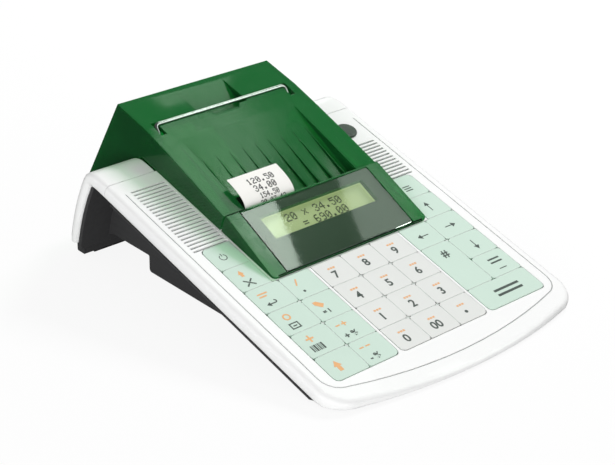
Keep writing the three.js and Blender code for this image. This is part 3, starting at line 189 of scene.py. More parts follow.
def build_smoothing():
    group = bpy.data.node_groups.new("smooth gentle edges", "GeometryNodeTree")
    for direction in ("INPUT", "OUTPUT"):
        group.interface.new_socket("Geometry", in_out=direction, socket_type="NodeSocketGeometry")
    start = add_node(group, "NodeGroupInput")
    joined = add_node(group, "GeometryNodeMergeByDistance", {
        "Geometry": start.outputs["Geometry"], "Distance": join_distance})
    faces = add_node(group, "GeometryNodeSetShadeSmooth", {"Geometry": joined.outputs["Geometry"]})
    angle = add_node(group, "GeometryNodeInputMeshEdgeAngle")
    gentle = add_node(group, "FunctionNodeCompare", {
        "A": angle.outputs["Unsigned Angle"], "B": gentle_bend}, operation="LESS_THAN")
    edges = add_node(group, "GeometryNodeSetShadeSmooth", {
        "Geometry": faces.outputs["Geometry"], "Shade Smooth": gentle.outputs["Result"]}, domain="EDGE")
    add_node(group, "NodeGroupOutput", {"Geometry": edges.outputs["Geometry"]})
    return group


smoothing = build_smoothing()


def smooth(piece):
    piece.modifiers.new("smooth gentle edges", "NODES").node_group = smoothing
    piece.modifiers.new("flat faces stay flat", "WEIGHTED_NORMAL").keep_sharp = True


for node in frame["nodes"].values():
    smooth(node)
print("smoothed", len(frame["nodes"]), "CAD parts")

# %% [markdown]
# ## Effects that several finishes share
#
# Moulded plastic, rubber, painted print and metal differ in colour, but they share a few effects: a fine
# grain from the mould, marks from handling, softly worn edges and a little dust. On the green plastic the
# soft edges carry a painted highlight instead of wear, and one more group paints shade on its upright walls.
# Copying those nodes into each material would be hard to keep alike. Each effect is one shader node group,
# with its size as input. A group only puts out masks, heights and normals, and the shader itself stays in the
# material that uses them.

# %% Helpers for a shader node group
def start_group(name, label, value, outputs):
    """A shader node group with one number to set and named outputs. Returns it and the number's socket."""
    group = bpy.data.node_groups.new(name, "ShaderNodeTree")
    group.interface.new_socket(label, in_out="INPUT", socket_type="NodeSocketFloat").default_value = value
    for output in outputs:
        kind = "NodeSocketVector" if output == "Normal" else "NodeSocketFloat"
        group.interface.new_socket(output, in_out="OUTPUT", socket_type=kind)
    return group, add_node(group, "NodeGroupInput").outputs[label]


def end_group(group, results):
    add_node(group, "NodeGroupOutput", results)
    return group


def places_in_mm(tree, size, stretch=(1, 1, 1)):
    place = add_node(tree, "ShaderNodeTexCoord")
    shape = add_node(tree, "ShaderNodeVectorMath", {
        0: place.outputs["Object"], 1: [share / MM for share in stretch]}, operation="MULTIPLY")
    scale = add_node(tree, "ShaderNodeVectorMath", {
        0: shape.outputs["Vector"], "Scale": math_node(tree, "DIVIDE", 1.0, size)}, operation="SCALE")
    return scale.outputs["Vector"]


def noise(tree, vector, detail, roughness=0.55):
    node = add_node(tree, "ShaderNodeTexNoise", {
        "Scale": 1.0, "Detail": detail, "Roughness": roughness, "Vector": vector})
    return node.outputs["Fac"]


def ranged(tree, value, low, high):
    node = add_node(tree, "ShaderNodeMapRange", {"To Min": low, "To Max": high, "Value": value})
    return node.outputs["Result"]


# %% Grain of a mould
def build_grain():
    group, size = start_group("moulded grain", "Size mm", 0.4, ["Height", "Tone"])
    fine = places_in_mm(group, size)
    cells = add_node(group, "ShaderNodeTexVoronoi", {"Scale": 1.0, "Vector": fine}, feature="SMOOTH_F1")
    height = math_node(group, "ADD", cells.outputs["Distance"], noise(group, fine, 2.0))
    broad = places_in_mm(group, math_node(group, "MULTIPLY", size, 60.0))
    return end_group(group, {"Height": height, "Tone": noise(group, broad, 3.0)})


grain_group = build_grain()


# %% Marks left by hands
def build_handling():
    group, size = start_group("handling marks", "Size mm", 18.0, ["Mask"])
    patches = noise(group, places_in_mm(group, size), 4.0, 0.6)
    narrow = math_node(group, "MULTIPLY", size, 0.12)
    streaks = noise(group, places_in_mm(group, narrow, (1, 0.08, 1)), 2.0)
    raised = math_node(group, "SUBTRACT", math_node(group, "MULTIPLY", patches, streaks), 0.18)
    return end_group(group, {"Mask": math_node(group, "MULTIPLY", raised, 6.0, clamp=True)})


handling_group = build_handling()


# %% Soft edges, with the wear and the painted highlight that follow them
def build_edge_wear_and_highlight():
    group, radius = start_group("soft edges for wear and painted highlight", "Radius mm", 0.3, ["Mask", "Normal"])
    reach = math_node(group, "MULTIPLY", radius, MM)
    bevel = add_node(group, "ShaderNodeBevel", {"Radius": reach}, samples=6)
    face = add_node(group, "ShaderNodeNewGeometry")
    along = add_node(group, "ShaderNodeVectorMath", {
        0: bevel.outputs["Normal"], 1: face.outputs["Normal"]}, operation="DOT_PRODUCT")
    turned = math_node(group, "SUBTRACT", 1.0, along.outputs["Value"])
    patchy = noise(group, places_in_mm(group, 2.5), 3.0)
    mask = math_node(group, "MULTIPLY", math_node(group, "MULTIPLY", turned, 4.0, clamp=True), patchy)
    return end_group(group, {"Mask": mask, "Normal": bevel.outputs["Normal"]})


edge_wear_and_highlight_group = build_edge_wear_and_highlight()


# %% Dust on upward faces
def build_dust():
    group, size = start_group("settled dust", "Size mm", 3.0, ["Mask"])
    face = add_node(group, "ShaderNodeNewGeometry")
    parts = add_node(group, "ShaderNodeSeparateXYZ", {0: face.outputs["Normal"]})
    upward = math_node(group, "MAXIMUM", parts.outputs["Z"], 0.0)
    specks = noise(group, places_in_mm(group, size), 6.0, 0.7)
    thick = math_node(group, "MULTIPLY", math_node(group, "SUBTRACT", specks, 0.42), 3.0, clamp=True)
    return end_group(group, {"Mask": math_node(group, "MULTIPLY", upward, thick)})


dust_group = build_dust()


# %% Fibres of paper
def build_fibres():
    group, size = start_group("paper fibres", "Size mm", 0.5, ["Height", "Tone"])
    lying = noise(group, places_in_mm(group, size, (1, 0.2, 1)), 3.0)
    crossing = noise(group, places_in_mm(group, size, (0.2, 1, 1)), 3.0)
    both = math_node(group, "ADD", lying, crossing)
    return end_group(group, {"Height": both, "Tone": math_node(group, "MULTIPLY", both, 0.5)})


fibres_group = build_fibres()


# %% Fine lines of drawn or brushed metal
def build_drawn():
    group, size = start_group("drawn metal", "Size mm", 0.15, ["Height", "Mask"])
    lines = noise(group, places_in_mm(group, size, (0.02, 1, 1)), 3.0, 0.7)
    broad = noise(group, places_in_mm(group, math_node(group, "MULTIPLY", size, 50.0)), 3.0)
    return end_group(group, {"Height": lines, "Mask": math_node(group, "MULTIPLY", broad, lines)})


drawn_group = build_drawn()


# %% Painted shade on the upright walls of the plastic
def build_painted_side_shade():
    """Painted shade: strong on upright faces, in slow soft clouds."""
    group, cloud_mm = start_group("painted side shade", "Cloud mm", 9.0, ["Mask"])
    place = add_node(group, "ShaderNodeTexCoord")
    facing = add_node(group, "ShaderNodeSeparateXYZ", {0: place.outputs["Normal"]})
    upright = math_node(group, "MULTIPLY", math_node(group, "ABSOLUTE", facing.outputs["X"]), 1.1)
    density = math_node(group, "DIVIDE", 300.0, cloud_mm)
    cloud = add_node(group, "ShaderNodeTexNoise", {
        "Detail": 2.0, "Vector": place.outputs["Object"], "Scale": density})
    level = ranged(group, cloud.outputs["Fac"], 0.55, 1.25)
    return end_group(group, {"Mask": math_node(group, "MULTIPLY", upright, level)})


side_shade_group = build_painted_side_shade()


# %% Which rays may see the white ground
def seen_directly(tree):
    """1 for rays from the camera, also those that went straight through clear plastic, and else 0."""
    light = add_node(tree, "ShaderNodeLightPath")
    turns = math_node(tree, "ADD", light.outputs["Glossy Depth"], light.outputs["Diffuse Depth"], clamp=True)
    straight = math_node(tree, "SUBTRACT", 1.0, turns)
    through = math_node(tree, "MULTIPLY", light.outputs["Is Transmission Ray"], straight)
    return math_node(tree, "MAXIMUM", light.outputs["Is Camera Ray"], through), light


print("shader groups:", sorted(group.name for group in bpy.data.node_groups))

# %% [markdown]
# ## One recipe for opaque finishes
#
# On the real register, case, base, keys, rubber and gears are all opaque mouldings. They differ in colour,
# gloss and grain, not in kind. A separate hand-wired material for each would repeat the same forty links.
# The recipe below wires the shared groups into one Principled shader: grain and paper fibres into the bump,
# hand marks into the roughness, tone, dust and worn edges into the colour. Each finish then states only its
# own values.

# %% The recipe
def linear(code):
    levels = [int(code[place:place + 2], 16) / 255 for place in (1, 3, 5)]
    return [level / 12.92 if level <= 0.04045 else ((level + 0.055) / 1.055) ** 2.4 for level in levels]


def start_material(name):
    material = bpy.data.materials.new(name)
    material.use_nodes = True
    return material, material.node_tree, material.node_tree.nodes["Principled BSDF"]


def place_group(tree, group, value):
    return add_node(tree, "ShaderNodeGroup", {0: value}, node_tree=group)


def colour_mix(tree, share, first, second):
    """Mixes two colours, each an output or three linear levels. The colour sockets are 6, 7 and 2."""
    first, second = ([*value, 1] if isinstance(value, list) else value for value in (first, second))
    return add_node(tree, "ShaderNodeMix", {0: share, 6: first, 7: second}, data_type="RGBA").outputs[2]


def bump(tree, height, depth_mm, normal=None):
    inputs = {"Distance": depth_mm * MM, "Height": height}
    if normal is not None:
        inputs["Normal"] = normal
    return add_node(tree, "ShaderNodeBump", inputs).outputs["Normal"]


def opaque(name, colour, gloss, grain_mm, depth_mm, second, worn, radius_mm, dust=0.0, metal=0.0, coat=0.0,
           specular=0.5, surface=grain_group):
    """A finish from #rrggbb colours: the broad tone drifts to second, and edges wear to worn."""
    material, tree, shader = start_material(name)
    grain = place_group(tree, surface, grain_mm)
    edges = place_group(tree, edge_wear_and_highlight_group, radius_mm)
    hands = place_group(tree, handling_group, 18.0)
    tone = grain.outputs["Tone"] if "Tone" in grain.outputs else grain.outputs["Mask"]
    shade = colour_mix(tree, ranged(tree, tone, 0.0, 1.0), linear(colour), linear(second))
    if worn:
        shade = colour_mix(tree, edges.outputs["Mask"], shade, linear(worn))
    if dust:
        settled = place_group(tree, dust_group, 3.0)
        share = math_node(tree, "MULTIPLY", settled.outputs["Mask"], dust)
        shade = colour_mix(tree, share, shade, linear("#a8a49c"))
    feed(tree, shader, {
        "Base Color": shade,
        "Roughness": ranged(tree, hands.outputs["Mask"], *gloss),
        "Normal": bump(tree, grain.outputs["Height"], depth_mm, edges.outputs["Normal"]),
        "Metallic": metal, "Coat Weight": coat, "Specular IOR Level": specular})
    return material


# %% [markdown]
# ## Finishes of the case, the base and the keys
#
# The case is glossy white moulding with hardly any grain, and it shows faint smears where hands rest on it.
# The base is dark grey with a dull, coarse grain that hides scratches. The keys are one soft printed sheet
# over domes: satin, pale mint for the function keys and pale grey for the digits.

# %% Case, base and keys
finishes = {
    "case_white": opaque("glossy white case", "#f0f1f0", (0.3, 0.306), 0.5, 0.0006, "#efefef", "#f6f6f5",
                         0.35, coat=0.25),
    "base_dark": opaque("dull dark base", "#3f3f40", (0.5, 0.62), 0.55, 0.015, "#3a3a3b", "#4c4c4d",
                        0.3, 0.04),
    "key_mint": opaque("mint key sheet", "#c9ddd1", (0.36, 0.46), 0.6, 0.005, "#c4d9cc", "#d8e8de", 0.3),
    "key_grey": opaque("grey key sheet", "#dddfdc", (0.36, 0.46), 0.6, 0.005, "#d8dad7", "#e8eae8", 0.3),
    "mat_rubber": opaque("key mat rubber", "#d6ddd8", (0.6, 0.75), 0.7, 0.01, "#cdd5d0", None, 0.2),
    "foot_rubber": opaque("foot rubber", "#1d1d1e", (0.7, 0.85), 0.5, 0.02, "#262627", "#343435", 0.25, 0.25),
    "reader_black": opaque("reader disc", "#515b54", (0.24, 0.34), 0.4, 0.004, "#4a544d", "#333a36", 0.3),
    "socket_black": opaque("socket black", "#202122", (0.45, 0.6), 0.4, 0.01, "#1a1b1c", "#3a3b3c", 0.2, 0.1),
}
print("finishes:", len(finishes))

# %% [markdown]
# ## Finishes of the works inside
#
# Behind the green cover sit the printer and the paper. Little of them is seen, but light comes through the
# cover, so their colours matter. Boards are green lacquer over glass cloth, the chassis is plated sheet, the
# gears are ivory acetal and the roller is black rubber.

# %% Printer, boards and batteries
drawn_steel = {"metal": 1.0, "surface": drawn_group}
finishes.update({
    "board_green": opaque("board lacquer", "#1f5a36", (0.3, 0.45), 0.8, 0.01, "#1a4f30", "#b8a06a",
                          0.15, 0.1),
    "frame_steel": opaque("plated sheet", "#b9bcbe", (0.28, 0.42), 0.2, 0.003, "#a9adb0", "#d4d6d7", 0.2,
                          **drawn_steel),
    "motor_steel": opaque("motor can", "#a2a6a9", (0.25, 0.4), 0.2, 0.003, "#92969a", "#c6c9cb", 0.25,
                          **drawn_steel),
    "head_ceramic": opaque("head ceramic", "#d8d4cc", (0.25, 0.38), 0.3, 0.003, "#cfcac0", None, 0.15),
    "platen_rubber": opaque("platen rubber", "#26272a", (0.6, 0.72), 0.3, 0.008, "#2e2f32", None, 0.1, 0.1),
    "gear_plastic": opaque("gear acetal", "#e4dfd0", (0.35, 0.5), 0.4, 0.004, "#dcd6c4", "#efebdf", 0.12),
    "battery_sleeve": opaque("battery sleeve", "#2c5f8c", (0.25, 0.4), 0.6, 0.004, "#28567f", "#5d87a8", 0.3),
})
print("finishes:", len(finishes))

# %% [markdown]
# ## Green see-through plastic
#
# The cover is tinted acrylic. Its top looks pale where it mirrors a lamp, its sides look almost black, and
# light glows through where nothing is behind it. The shader lets part of the light through and tints it, and
# the dark works inside give shade behind it. The upright walls also get painted shade, darker in slow soft
# clouds, and they mirror less. The gloss is high, with faint smears, and edges are softened a little so that
# they catch a thin line of light, which a painted highlight makes brighter.

# %% Tinted acrylic
def open_to_lamps(tree, shader, tint, thin=False):
    """Rays from a surface to a lamp pass through the plastic and take on its tint. Through a thin plate,
    so do all rays that have bounced off what lies behind it."""
    rays = add_node(tree, "ShaderNodeLightPath").outputs
    open_rays = rays["Is Shadow Ray"]
    if thin:
        seen = math_node(tree, "MAXIMUM", rays["Is Camera Ray"], rays["Is Transmission Ray"])
        open_rays = math_node(tree, "SUBTRACT", 1.0, seen)
    passing = add_node(tree, "ShaderNodeBsdfTransparent", {"Color": [*tint, 1]})
    either = add_node(tree, "ShaderNodeMixShader", {
        0: open_rays, 1: shader.outputs[0], 2: passing.outputs[0]})
    feed(tree, tree.nodes["Material Output"], {"Surface": either.outputs[0]})


def build_tinted():
    material, tree, shader = start_material("tinted green acrylic")
    grain = place_group(tree, grain_group, 1.2)
    hands = place_group(tree, handling_group, 22.0)
    edges = place_group(tree, edge_wear_and_highlight_group, 0.3)
    dust = place_group(tree, dust_group, 2.0)
    shaded_sides = place_group(tree, side_shade_group, 9.0)
    deep = linear("#2a8a48")
    drift = ranged(tree, grain.outputs["Tone"], 0.0, 0.6)
    settled = math_node(tree, "MULTIPLY", dust.outputs["Mask"], 0.02)
    shade = colour_mix(tree, drift, deep, [level * 0.9 for level in deep])
    # Painted shade: upright walls turn darker, in soft clouds.
    shade = colour_mix(tree, shaded_sides.outputs["Mask"], shade, [level * 0.4 for level in deep])
    # Painted highlight: the colour brightens along soft edges.
    shade = colour_mix(tree, edges.outputs["Mask"], shade, [level * 1.8 + 0.02 for level in deep])
    feed(tree, shader, {
        "Base Color": colour_mix(tree, settled, shade, linear("#c9cfc9")),
        "Roughness": ranged(tree, hands.outputs["Mask"], 0.12, 0.17),
        "Normal": bump(tree, grain.outputs["Height"], 0.0006, edges.outputs["Normal"]),
        "Specular IOR Level": ranged(tree, shaded_sides.outputs["Mask"], 0.25, 0.1),
        "Transmission Weight": 0.6, "IOR": 1.49})
    open_to_lamps(tree, shader, (0.08, 0.62, 0.22))
    return material


finishes["cover_green"] = build_tinted()
print("plastic:", finishes["cover_green"].name)

# %% [markdown]
# ## The display window and its screen
#
# The window is a clear plate printed dark on its back, with a bare patch over the screen. A hole cut in a
# dark plate would lose the unbroken gloss over both. So the clear plate covers everything, a thin printed
# mask with a hole lies under it, and both stand for the CAD's plain plate. The clear plate lets lamp light
# straight through for shadows, or the screen below would lie in the dark.

# %% Clear plate and printed mask
def build_clear():
    material, tree, shader = start_material("clear window plate")
    hands = place_group(tree, handling_group, 14.0)
    feed(tree, shader, {
        "Roughness": ranged(tree, hands.outputs["Mask"], 0.03, 0.05),
        "Base Color": [*linear("#f2f8f3"), 1], "Transmission Weight": 1.0, "IOR": 1.45})
    open_to_lamps(tree, shader, (0.98, 1.0, 0.98), thin=True)
    return material


def build_screen():
    """The screen glows a little, so that it looks evenly lit under its frame."""
    material = opaque("screen glass", "#76775a", (0.2, 0.26), 0.7, 0.001, "#73755a", None, 0.2)
    shader = material.node_tree.nodes["Principled BSDF"]
    feed(material.node_tree, shader, {"Emission Color": [*linear("#bcd78f"), 1], "Emission Strength": 0.42})
    return material


clear_plate = build_clear()
finishes["window_green"] = opaque("printed window mask", "#16331c", (0.3, 0.36), 0.5, 0.001, "#17351e",
                                  None, 0.1)
finishes["lcd_yellow"] = build_screen()
print("window:", [clear_plate.name, finishes["window_green"].name, finishes["lcd_yellow"].name])

# %% [markdown]
# ## Paper and steel that show
#
# The ticket and the roll are thin thermal paper, slightly warm and faintly glossy on the printed side. The
# roll shows its windings as fine rings round its own axis. The bail is a polished wire, so it keeps only
# hair-fine drawn lines along its length.

# %% Ticket paper, wound paper and bail steel
roll_low, roll_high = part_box("paper_roll")
roll_axis = ((roll_low.y + roll_high.y) / 2, (roll_low.z + roll_high.z) / 2)
winding_mm = 0.22


def build_wound_paper():
    material, tree, shader = start_material("wound paper")
    place = add_node(tree, "ShaderNodeTexCoord")
    parts = add_node(tree, "ShaderNodeSeparateXYZ", {0: place.outputs["Object"]})
    squares = []
    for axis, middle in zip("YZ", roll_axis):
        offset = math_node(tree, "SUBTRACT", parts.outputs[axis], middle)
        squares.append(math_node(tree, "POWER", math_node(tree, "ABSOLUTE", offset), 2.0))
    distance = math_node(tree, "SQRT", math_node(tree, "ADD", *squares))
    turns = math_node(tree, "MULTIPLY", distance, 2 * math.pi / (winding_mm * MM))
    rings = math_node(tree, "MULTIPLY", math_node(tree, "SINE", turns), 0.5)
    fibres = place_group(tree, fibres_group, 0.5)
    share = math_node(tree, "ADD", rings, 0.5)
    feed(tree, shader, {
        "Base Color": colour_mix(tree, share, linear("#d9d6cd"), linear("#f0eee8")),
        "Roughness": ranged(tree, fibres.outputs["Tone"], 0.45, 0.6),
        "Normal": bump(tree, rings, 0.02)})
    return material


wound_paper = build_wound_paper()
finishes["paper_white"] = opaque("thermal paper", "#f0efec", (0.32, 0.45), 0.35, 0.006, "#e9e7e2", None, 0.05,
                                 surface=fibres_group)
finishes["bail_steel"] = opaque("polished wire", "#e2e4e4", (0.2, 0.27), 0.12, 0.001, "#c3c7c8",
                                "#eceeee", 0.1, **drawn_steel)
print("roll axis at", [round(value / MM, 2) for value in roll_axis], "mm")

# %% Give every CAD part its finish
for name, node in frame["nodes"].items():
    for place in node.material_slots:
        place.material = wound_paper if name == "paper_roll" else finishes[place.material.name]
print("slots used:", sorted(finishes))

# %% [markdown]
# ## A helper that turns points into a piece
#
# Every new piece below is a closed mesh made from a list of corners and faces. The helper builds it, gives it
# its material and lets it ride on the body that it belongs to. Most pieces are rows of flat prisms, so a
# second helper makes a piece straight from their outlines.

# %% Mesh pieces
def piece_from(name, corners, faces, materials, body, face_materials=()):
    mesh = bpy.data.meshes.new(name)
    mesh.from_pydata([tuple(corner) for corner in corners], [], faces)
    for material in materials:
        mesh.materials.append(material)
    for face, index in zip(mesh.polygons, face_materials):
        face.material_index = index
    shape = bmesh.new()
    shape.from_mesh(mesh)
    bmesh.ops.recalc_face_normals(shape, faces=shape.faces)
    shape.to_mesh(mesh)
    shape.free()
    piece = add_object(name, mesh)
    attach(piece, body)
    return piece


def prism(corners, faces, outline, place, low, high):
    """Adds a flat closed prism: outline is (x, y) in mm, and place(x, y, out) gives the point."""
    first = len(corners)
    count = len(outline)
    for level in (low, high):
        corners.extend(place(x, y, level) for x, y in outline)
    faces.append([first + step for step in range(count)][::-1])
    faces.append([first + count + step for step in range(count)])
    for step in range(count):
        after = (step + 1) % count
        faces.append([first + step, first + after, first + count + after, first + count + step])


def prisms_from(name, finish, body, slot, *rows):
    """A piece of prisms. Each row is a place function, the low and high level, and a list of outlines."""
    corners, faces = [], []
    for place, low, high, outlines in rows:
        for outline in outlines:
            prism(corners, faces, outline, place, low, high)
    print(name, "has", len(corners), "corners")
    return piece_from(name, corners, faces, [finish], body)


def rectangle(x0, y0, x1, y1):
    return [(x0, y0), (x1, y0), (x1, y1), (x0, y1)]


# %% [markdown]
# ## Window plate
#
# Two layers make the plate: a thin mask printed on the underside, cut out over the screen, and the clear
# plate on it with a small bevel round its rim, which is the thin bright line along the edge of the real
# window.

# %% Build the mask and the clear plate
plate_half, plate_front, plate_rear, plate_depth = 37.3, 1.0, 35.87, 1.1
opening_half, opening_front, opening_rear = 30.4, 18.0, 31.0
mask_depth, mask_gap, plate_bevel = 0.1, 0.01, 0.25

window_mask = prisms_from("window_mask", finishes["window_green"], "base", "window_green", (
    on_panel, -plate_depth, -plate_depth + mask_depth, [
        rectangle(-plate_half, plate_front, plate_half, opening_front),
        rectangle(-plate_half, opening_rear, plate_half, plate_rear),
        rectangle(-plate_half, opening_front, -opening_half, opening_rear),
        rectangle(opening_half, opening_front, plate_half, opening_rear)]))

plate_corners, plate_faces = [], [[3, 2, 1, 0]]
for inset, out in ((0, -plate_depth + mask_depth + mask_gap), (0, -plate_bevel), (plate_bevel, 0)):
    rim = rectangle(-plate_half + inset, plate_front + inset, plate_half - inset, plate_rear - inset)
    plate_corners.extend(on_panel(x, y, out) for x, y in rim)
for first in (0, 4):
    for step in range(4):
        after = (step + 1) % 4
        plate_faces.append([first + step, first + after, first + 4 + after, first + 4 + step])
plate_faces.append([8, 9, 10, 11])
window_plate = piece_from("window_plate", plate_corners, plate_faces, [clear_plate], "base")
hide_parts("display_window")
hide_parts("display_window")
print("window plate:", 2 * plate_half, "by", round(plate_rear - plate_front, 2), "mm")

# %% [markdown]
# ## Dot characters
#
# The screen and the ticket printer both form characters from a grid of five by seven dots. A text object
# would give smooth letters, which neither can show. So the shapes are written down as rows of dots, as in
# the memory of the display, and each lit dot becomes a tiny flat block. Only figures and signs are used.

# %% The dot font
dot_rows = {
    "0": "01110 10001 10011 10101 11001 10001 01110",
    "1": "00100 01100 00100 00100 00100 00100 01110",
    "2": "01110 10001 00001 00110 01000 10000 11111",
    "3": "01110 10001 00001 00110 00001 10001 01110",
    "4": "00010 00110 01010 10010 11111 00010 00010",
    "5": "11111 10000 11110 00001 00001 10001 01110",
    "6": "01110 10000 10000 11110 10001 10001 01110",
    "7": "11111 00001 00010 00100 01000 01000 01000",
    "9": "01110 10001 10001 01111 00001 00001 01110",
    ".": "00000 00000 00000 00000 00000 01100 01100",
    "x": "00000 10001 01010 00100 01010 10001 00000",
    "=": "00000 00000 11111 00000 11111 00000 00000",
    " ": "",
}


def dots_of(text, left, baseline, pitch, gap, rows_pitch):
    """Lower left corner of each lit dot of one line that starts at (left, baseline), in mm."""
    for place, sign in enumerate(text):
        for row, line in enumerate(dot_rows[sign].split()):
            for column, lit in enumerate(line):
                if lit == "1":
                    across = place * (5 * pitch + gap) + column * pitch
                    yield left + across, baseline + (6 - row) * rows_pitch


print("signs in the dot font:", len(dot_rows))

# %% Figures on the screen
screen_ink = opaque("screen dots", "#18220f", (0.3, 0.4), 0.3, 0.001, "#2b391e", None, 0.05)
screen_surface, screen_right = -4.0, 16.2
dot_wide, dot_high, sign_gap, dot_spread = 0.53, 0.61, 0.64, 0.06
sign_pitch = 5 * dot_wide + sign_gap
screen_dots = []
for text, baseline in (("20 x 34.50", 25.2), ("= 690.00", 19.8)):
    start = screen_right - len(text) * sign_pitch
    screen_dots += [rectangle(x, y, x + dot_wide + dot_spread, y + dot_high)
                    for x, y in dots_of(text, start, baseline, dot_wide, sign_gap, dot_high)]
prisms_from("screen_figures", screen_ink, "base", "window_green",
            (on_panel, screen_surface + 0.005, screen_surface + 0.03, screen_dots))
print("one sign is", round(sign_pitch, 2), "mm wide,", len(screen_dots), "dots are lit")

# %% [markdown]
# ## The ticket
#
# The ticket comes up through the slot between display and cover and leans back over the ribs, with a torn
# end. A flat card would miss the curl, so a ribbon is swept along a path: straight up, then one soft bend.
# The far end gets the small teeth that the cutter leaves. The print goes through the same path, so it bends
# with the paper.

# %% Path of the ticket
ticket_left, ticket_right, ticket_thick = -32.7, -4.7, 0.3
slot_s, bend_steps = 96.75, 24
bend_start, bend_control, bend_finish = (slot_s, 5.5), (slot_s, 11.8), (112.0, 12.8)
bend_levels = list(zip(bend_start, bend_control, bend_finish))


def bend(start, control, finish, share):
    return (1 - share) ** 2 * start + 2 * share * (1 - share) * control + share ** 2 * finish


ticket_path = [(slot_s, 0.8), (slot_s, 3.2), bend_start]
for step in range(1, bend_steps + 1):
    ticket_path.append(tuple(bend(*levels, step / bend_steps) for levels in bend_levels))
ticket_lengths = [0.0]
for before, after in zip(ticket_path, ticket_path[1:]):
    ticket_lengths.append(ticket_lengths[-1] + math.dist(before, after))


def on_ticket(across, distance, out):
    """A point at a distance along the ticket's middle line and out of its face, in mm."""
    last = len(ticket_path) - 2
    index = next((place for place in range(last) if ticket_lengths[place + 1] >= distance), last)
    before, after = Vector(ticket_path[index]), Vector(ticket_path[index + 1])
    direction = (after - before).normalized()
    normal = Vector((-direction.y, direction.x))
    point = before + direction * (distance - ticket_lengths[index]) + normal * out
    return on_deck(across, point.x, point.y)


print("ticket length:", round(ticket_lengths[-1], 1), "mm")

# %% Sweep the paper
tooth_pitch, tooth_depth = 1.4, 0.35
columns, stations = 80, 44
row_count = columns + 1
paper_corners, paper_faces = [], []
for side in (-1, 1):
    for station in range(stations + 1):
        for column in range(row_count):
            across = ticket_left + (ticket_right - ticket_left) * column / columns
            phase = ((across - ticket_left) / tooth_pitch) % 1
            tooth = tooth_depth * (1 - abs(2 * phase - 1)) if station == stations else 0.0
            distance = (ticket_lengths[-1] - tooth_depth) * station / stations + tooth
            paper_corners.append(on_ticket(across, distance, side * ticket_thick / 2))
sheet = (stations + 1) * row_count
for station in range(stations):
    for column in range(columns):
        corner = station * row_count + column
        square = [corner, corner + 1, corner + row_count + 1, corner + row_count]
        paper_faces.append(square[::-1])
        paper_faces.append([sheet + place for place in square])
rim = list(range(row_count))
rim += [station * row_count + columns for station in range(1, stations + 1)]
rim += [stations * row_count + column for column in range(columns - 1, -1, -1)]
rim += [station * row_count for station in range(stations - 1, 0, -1)]
for before, after in zip(rim, rim[1:] + rim[:1]):
    paper_faces.append([before, after, sheet + after, sheet + before])
ticket_paper = piece_from("ticket_paper", paper_corners, paper_faces, [finishes["paper_white"]], "cover")
smooth(ticket_paper)
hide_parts("ticket")
print("ticket faces:", len(paper_faces))

# %% Print the ticket
print_ink = opaque("thermal print", "#0f0f11", (0.4, 0.5), 0.3, 0.002, "#242427", None, 0.05)
large_print, small_print = (0.38, 0.48, 0.62), (0.28, 0.36, 0.42)
spread_left, spread_right, spread_up = 0.04, 0.1, 0.02
ticket_dots = []
for text, baseline, margin, (wide, high, gap) in (
    ("120.50", 16.2, 7.6, large_print),
    ("34.00", 12.0, 8.6, large_print),
    ("154.50", 8.6, 9.6, small_print),
    ("20.07 42", 5.4, 8.8, small_print),
):
    ticket_dots += [rectangle(x - spread_left, y, x + wide + spread_right, y + high + spread_up)
                    for x, y in dots_of(text, ticket_left + margin, baseline, wide, gap, high)]
prisms_from("ticket_print", print_ink, "cover", "paper_white",
            (on_ticket, ticket_thick / 2 + 0.004, ticket_thick / 2 + 0.02, ticket_dots))
print("ticket dots:", len(ticket_dots))

# %% [markdown]
# ## Dark lines in the green plastic
#
# Nine ribs carry the paper out of the recess and run out at its top. In clear plastic each one shows as a
# crisp dark line, because its side wall is looked at along the plastic and lies in shade. The rib itself is
# in the CAD. A fine dark wedge at its foot paints that shade as a line, and it gets thinner as the rib runs
# out. One more painted line runs along the left wall of the recess. Painted dark lines stand for the shade in
# the gaps where the display unit meets the cover, along the left edge of its window and round its front lip,
# and a dark patch painted under the ticket stands for its shadow, as no light gets there.

# %% Rib lines
# These lines are painted shade at the foot of each rib.
painted_rib_shade = opaque("painted rib shade", "#0a2010", (0.3, 0.4), 0.5, 0.001, "#1a4024", None, 0.1)
recess_front, recess_low, recess_rise = 97.3, 1.6, 0.2359
rib_pitch, rib_foot = 7.5, 0.41
rib_start, rib_end, line_wide, line_narrow = 0.4, 33.5, 0.34, 0.08


def on_recess(across, up, out):
    return on_deck(across, recess_front + up, recess_low + recess_rise * up + out)


rib_outlines = []
for index in range(-4, 5):
    foot = index * rib_pitch - rib_foot
    rib_outlines.append([(foot - line_wide, rib_start), (foot, rib_start), (foot, rib_end),
                         (foot - line_narrow, rib_end)])
rib_outlines.append([(-32.95, rib_start), (-32.6, rib_start), (-32.8, 44), (-32.95, 44)])
prisms_from("rib_lines", painted_rib_shade, "cover", "cover_green", (on_recess, 0.02, 0.12, rib_outlines))

# %% Seam lines
# Painted shade: these dark strips stand for the shade in the gaps round the display unit.
seam_shade = opaque("seam shade", "#06110a", (0.6, 0.7), 0.3, 0.001, "#0a170e", None, 0.05, specular=0.1)
wall_foot, wall_lean = 45.4, math.tan(math.radians(5.793))
seam_low, seam_high = 0.01, 0.04


def on_left_wall(slope, out, away):
    return on_deck(-(wall_foot - out * wall_lean) - away, slope, out)


def on_front_wall(across, out, away):
    return on_deck(across, display_front[0] - away, out)


prisms_from(
    "seam_lines", seam_shade, "base", "cover_green",
    (on_panel, seam_low, seam_high, [
        rectangle(-44.5, 36.3, -33.1, 36.76),
        rectangle(-plate_half - 0.42, plate_front, -plate_half - 0.08, plate_rear),
        rectangle(-42.5, 0.2, 42.5, plate_front - 0.1)]),
    (on_left_wall, seam_low, seam_high, [rectangle(95.75, 0.3, 96.18, 8.4)]),
    (on_front_wall, seam_low, seam_high, [rectangle(-42.5, 0.2, 42.5, 0.9)]))
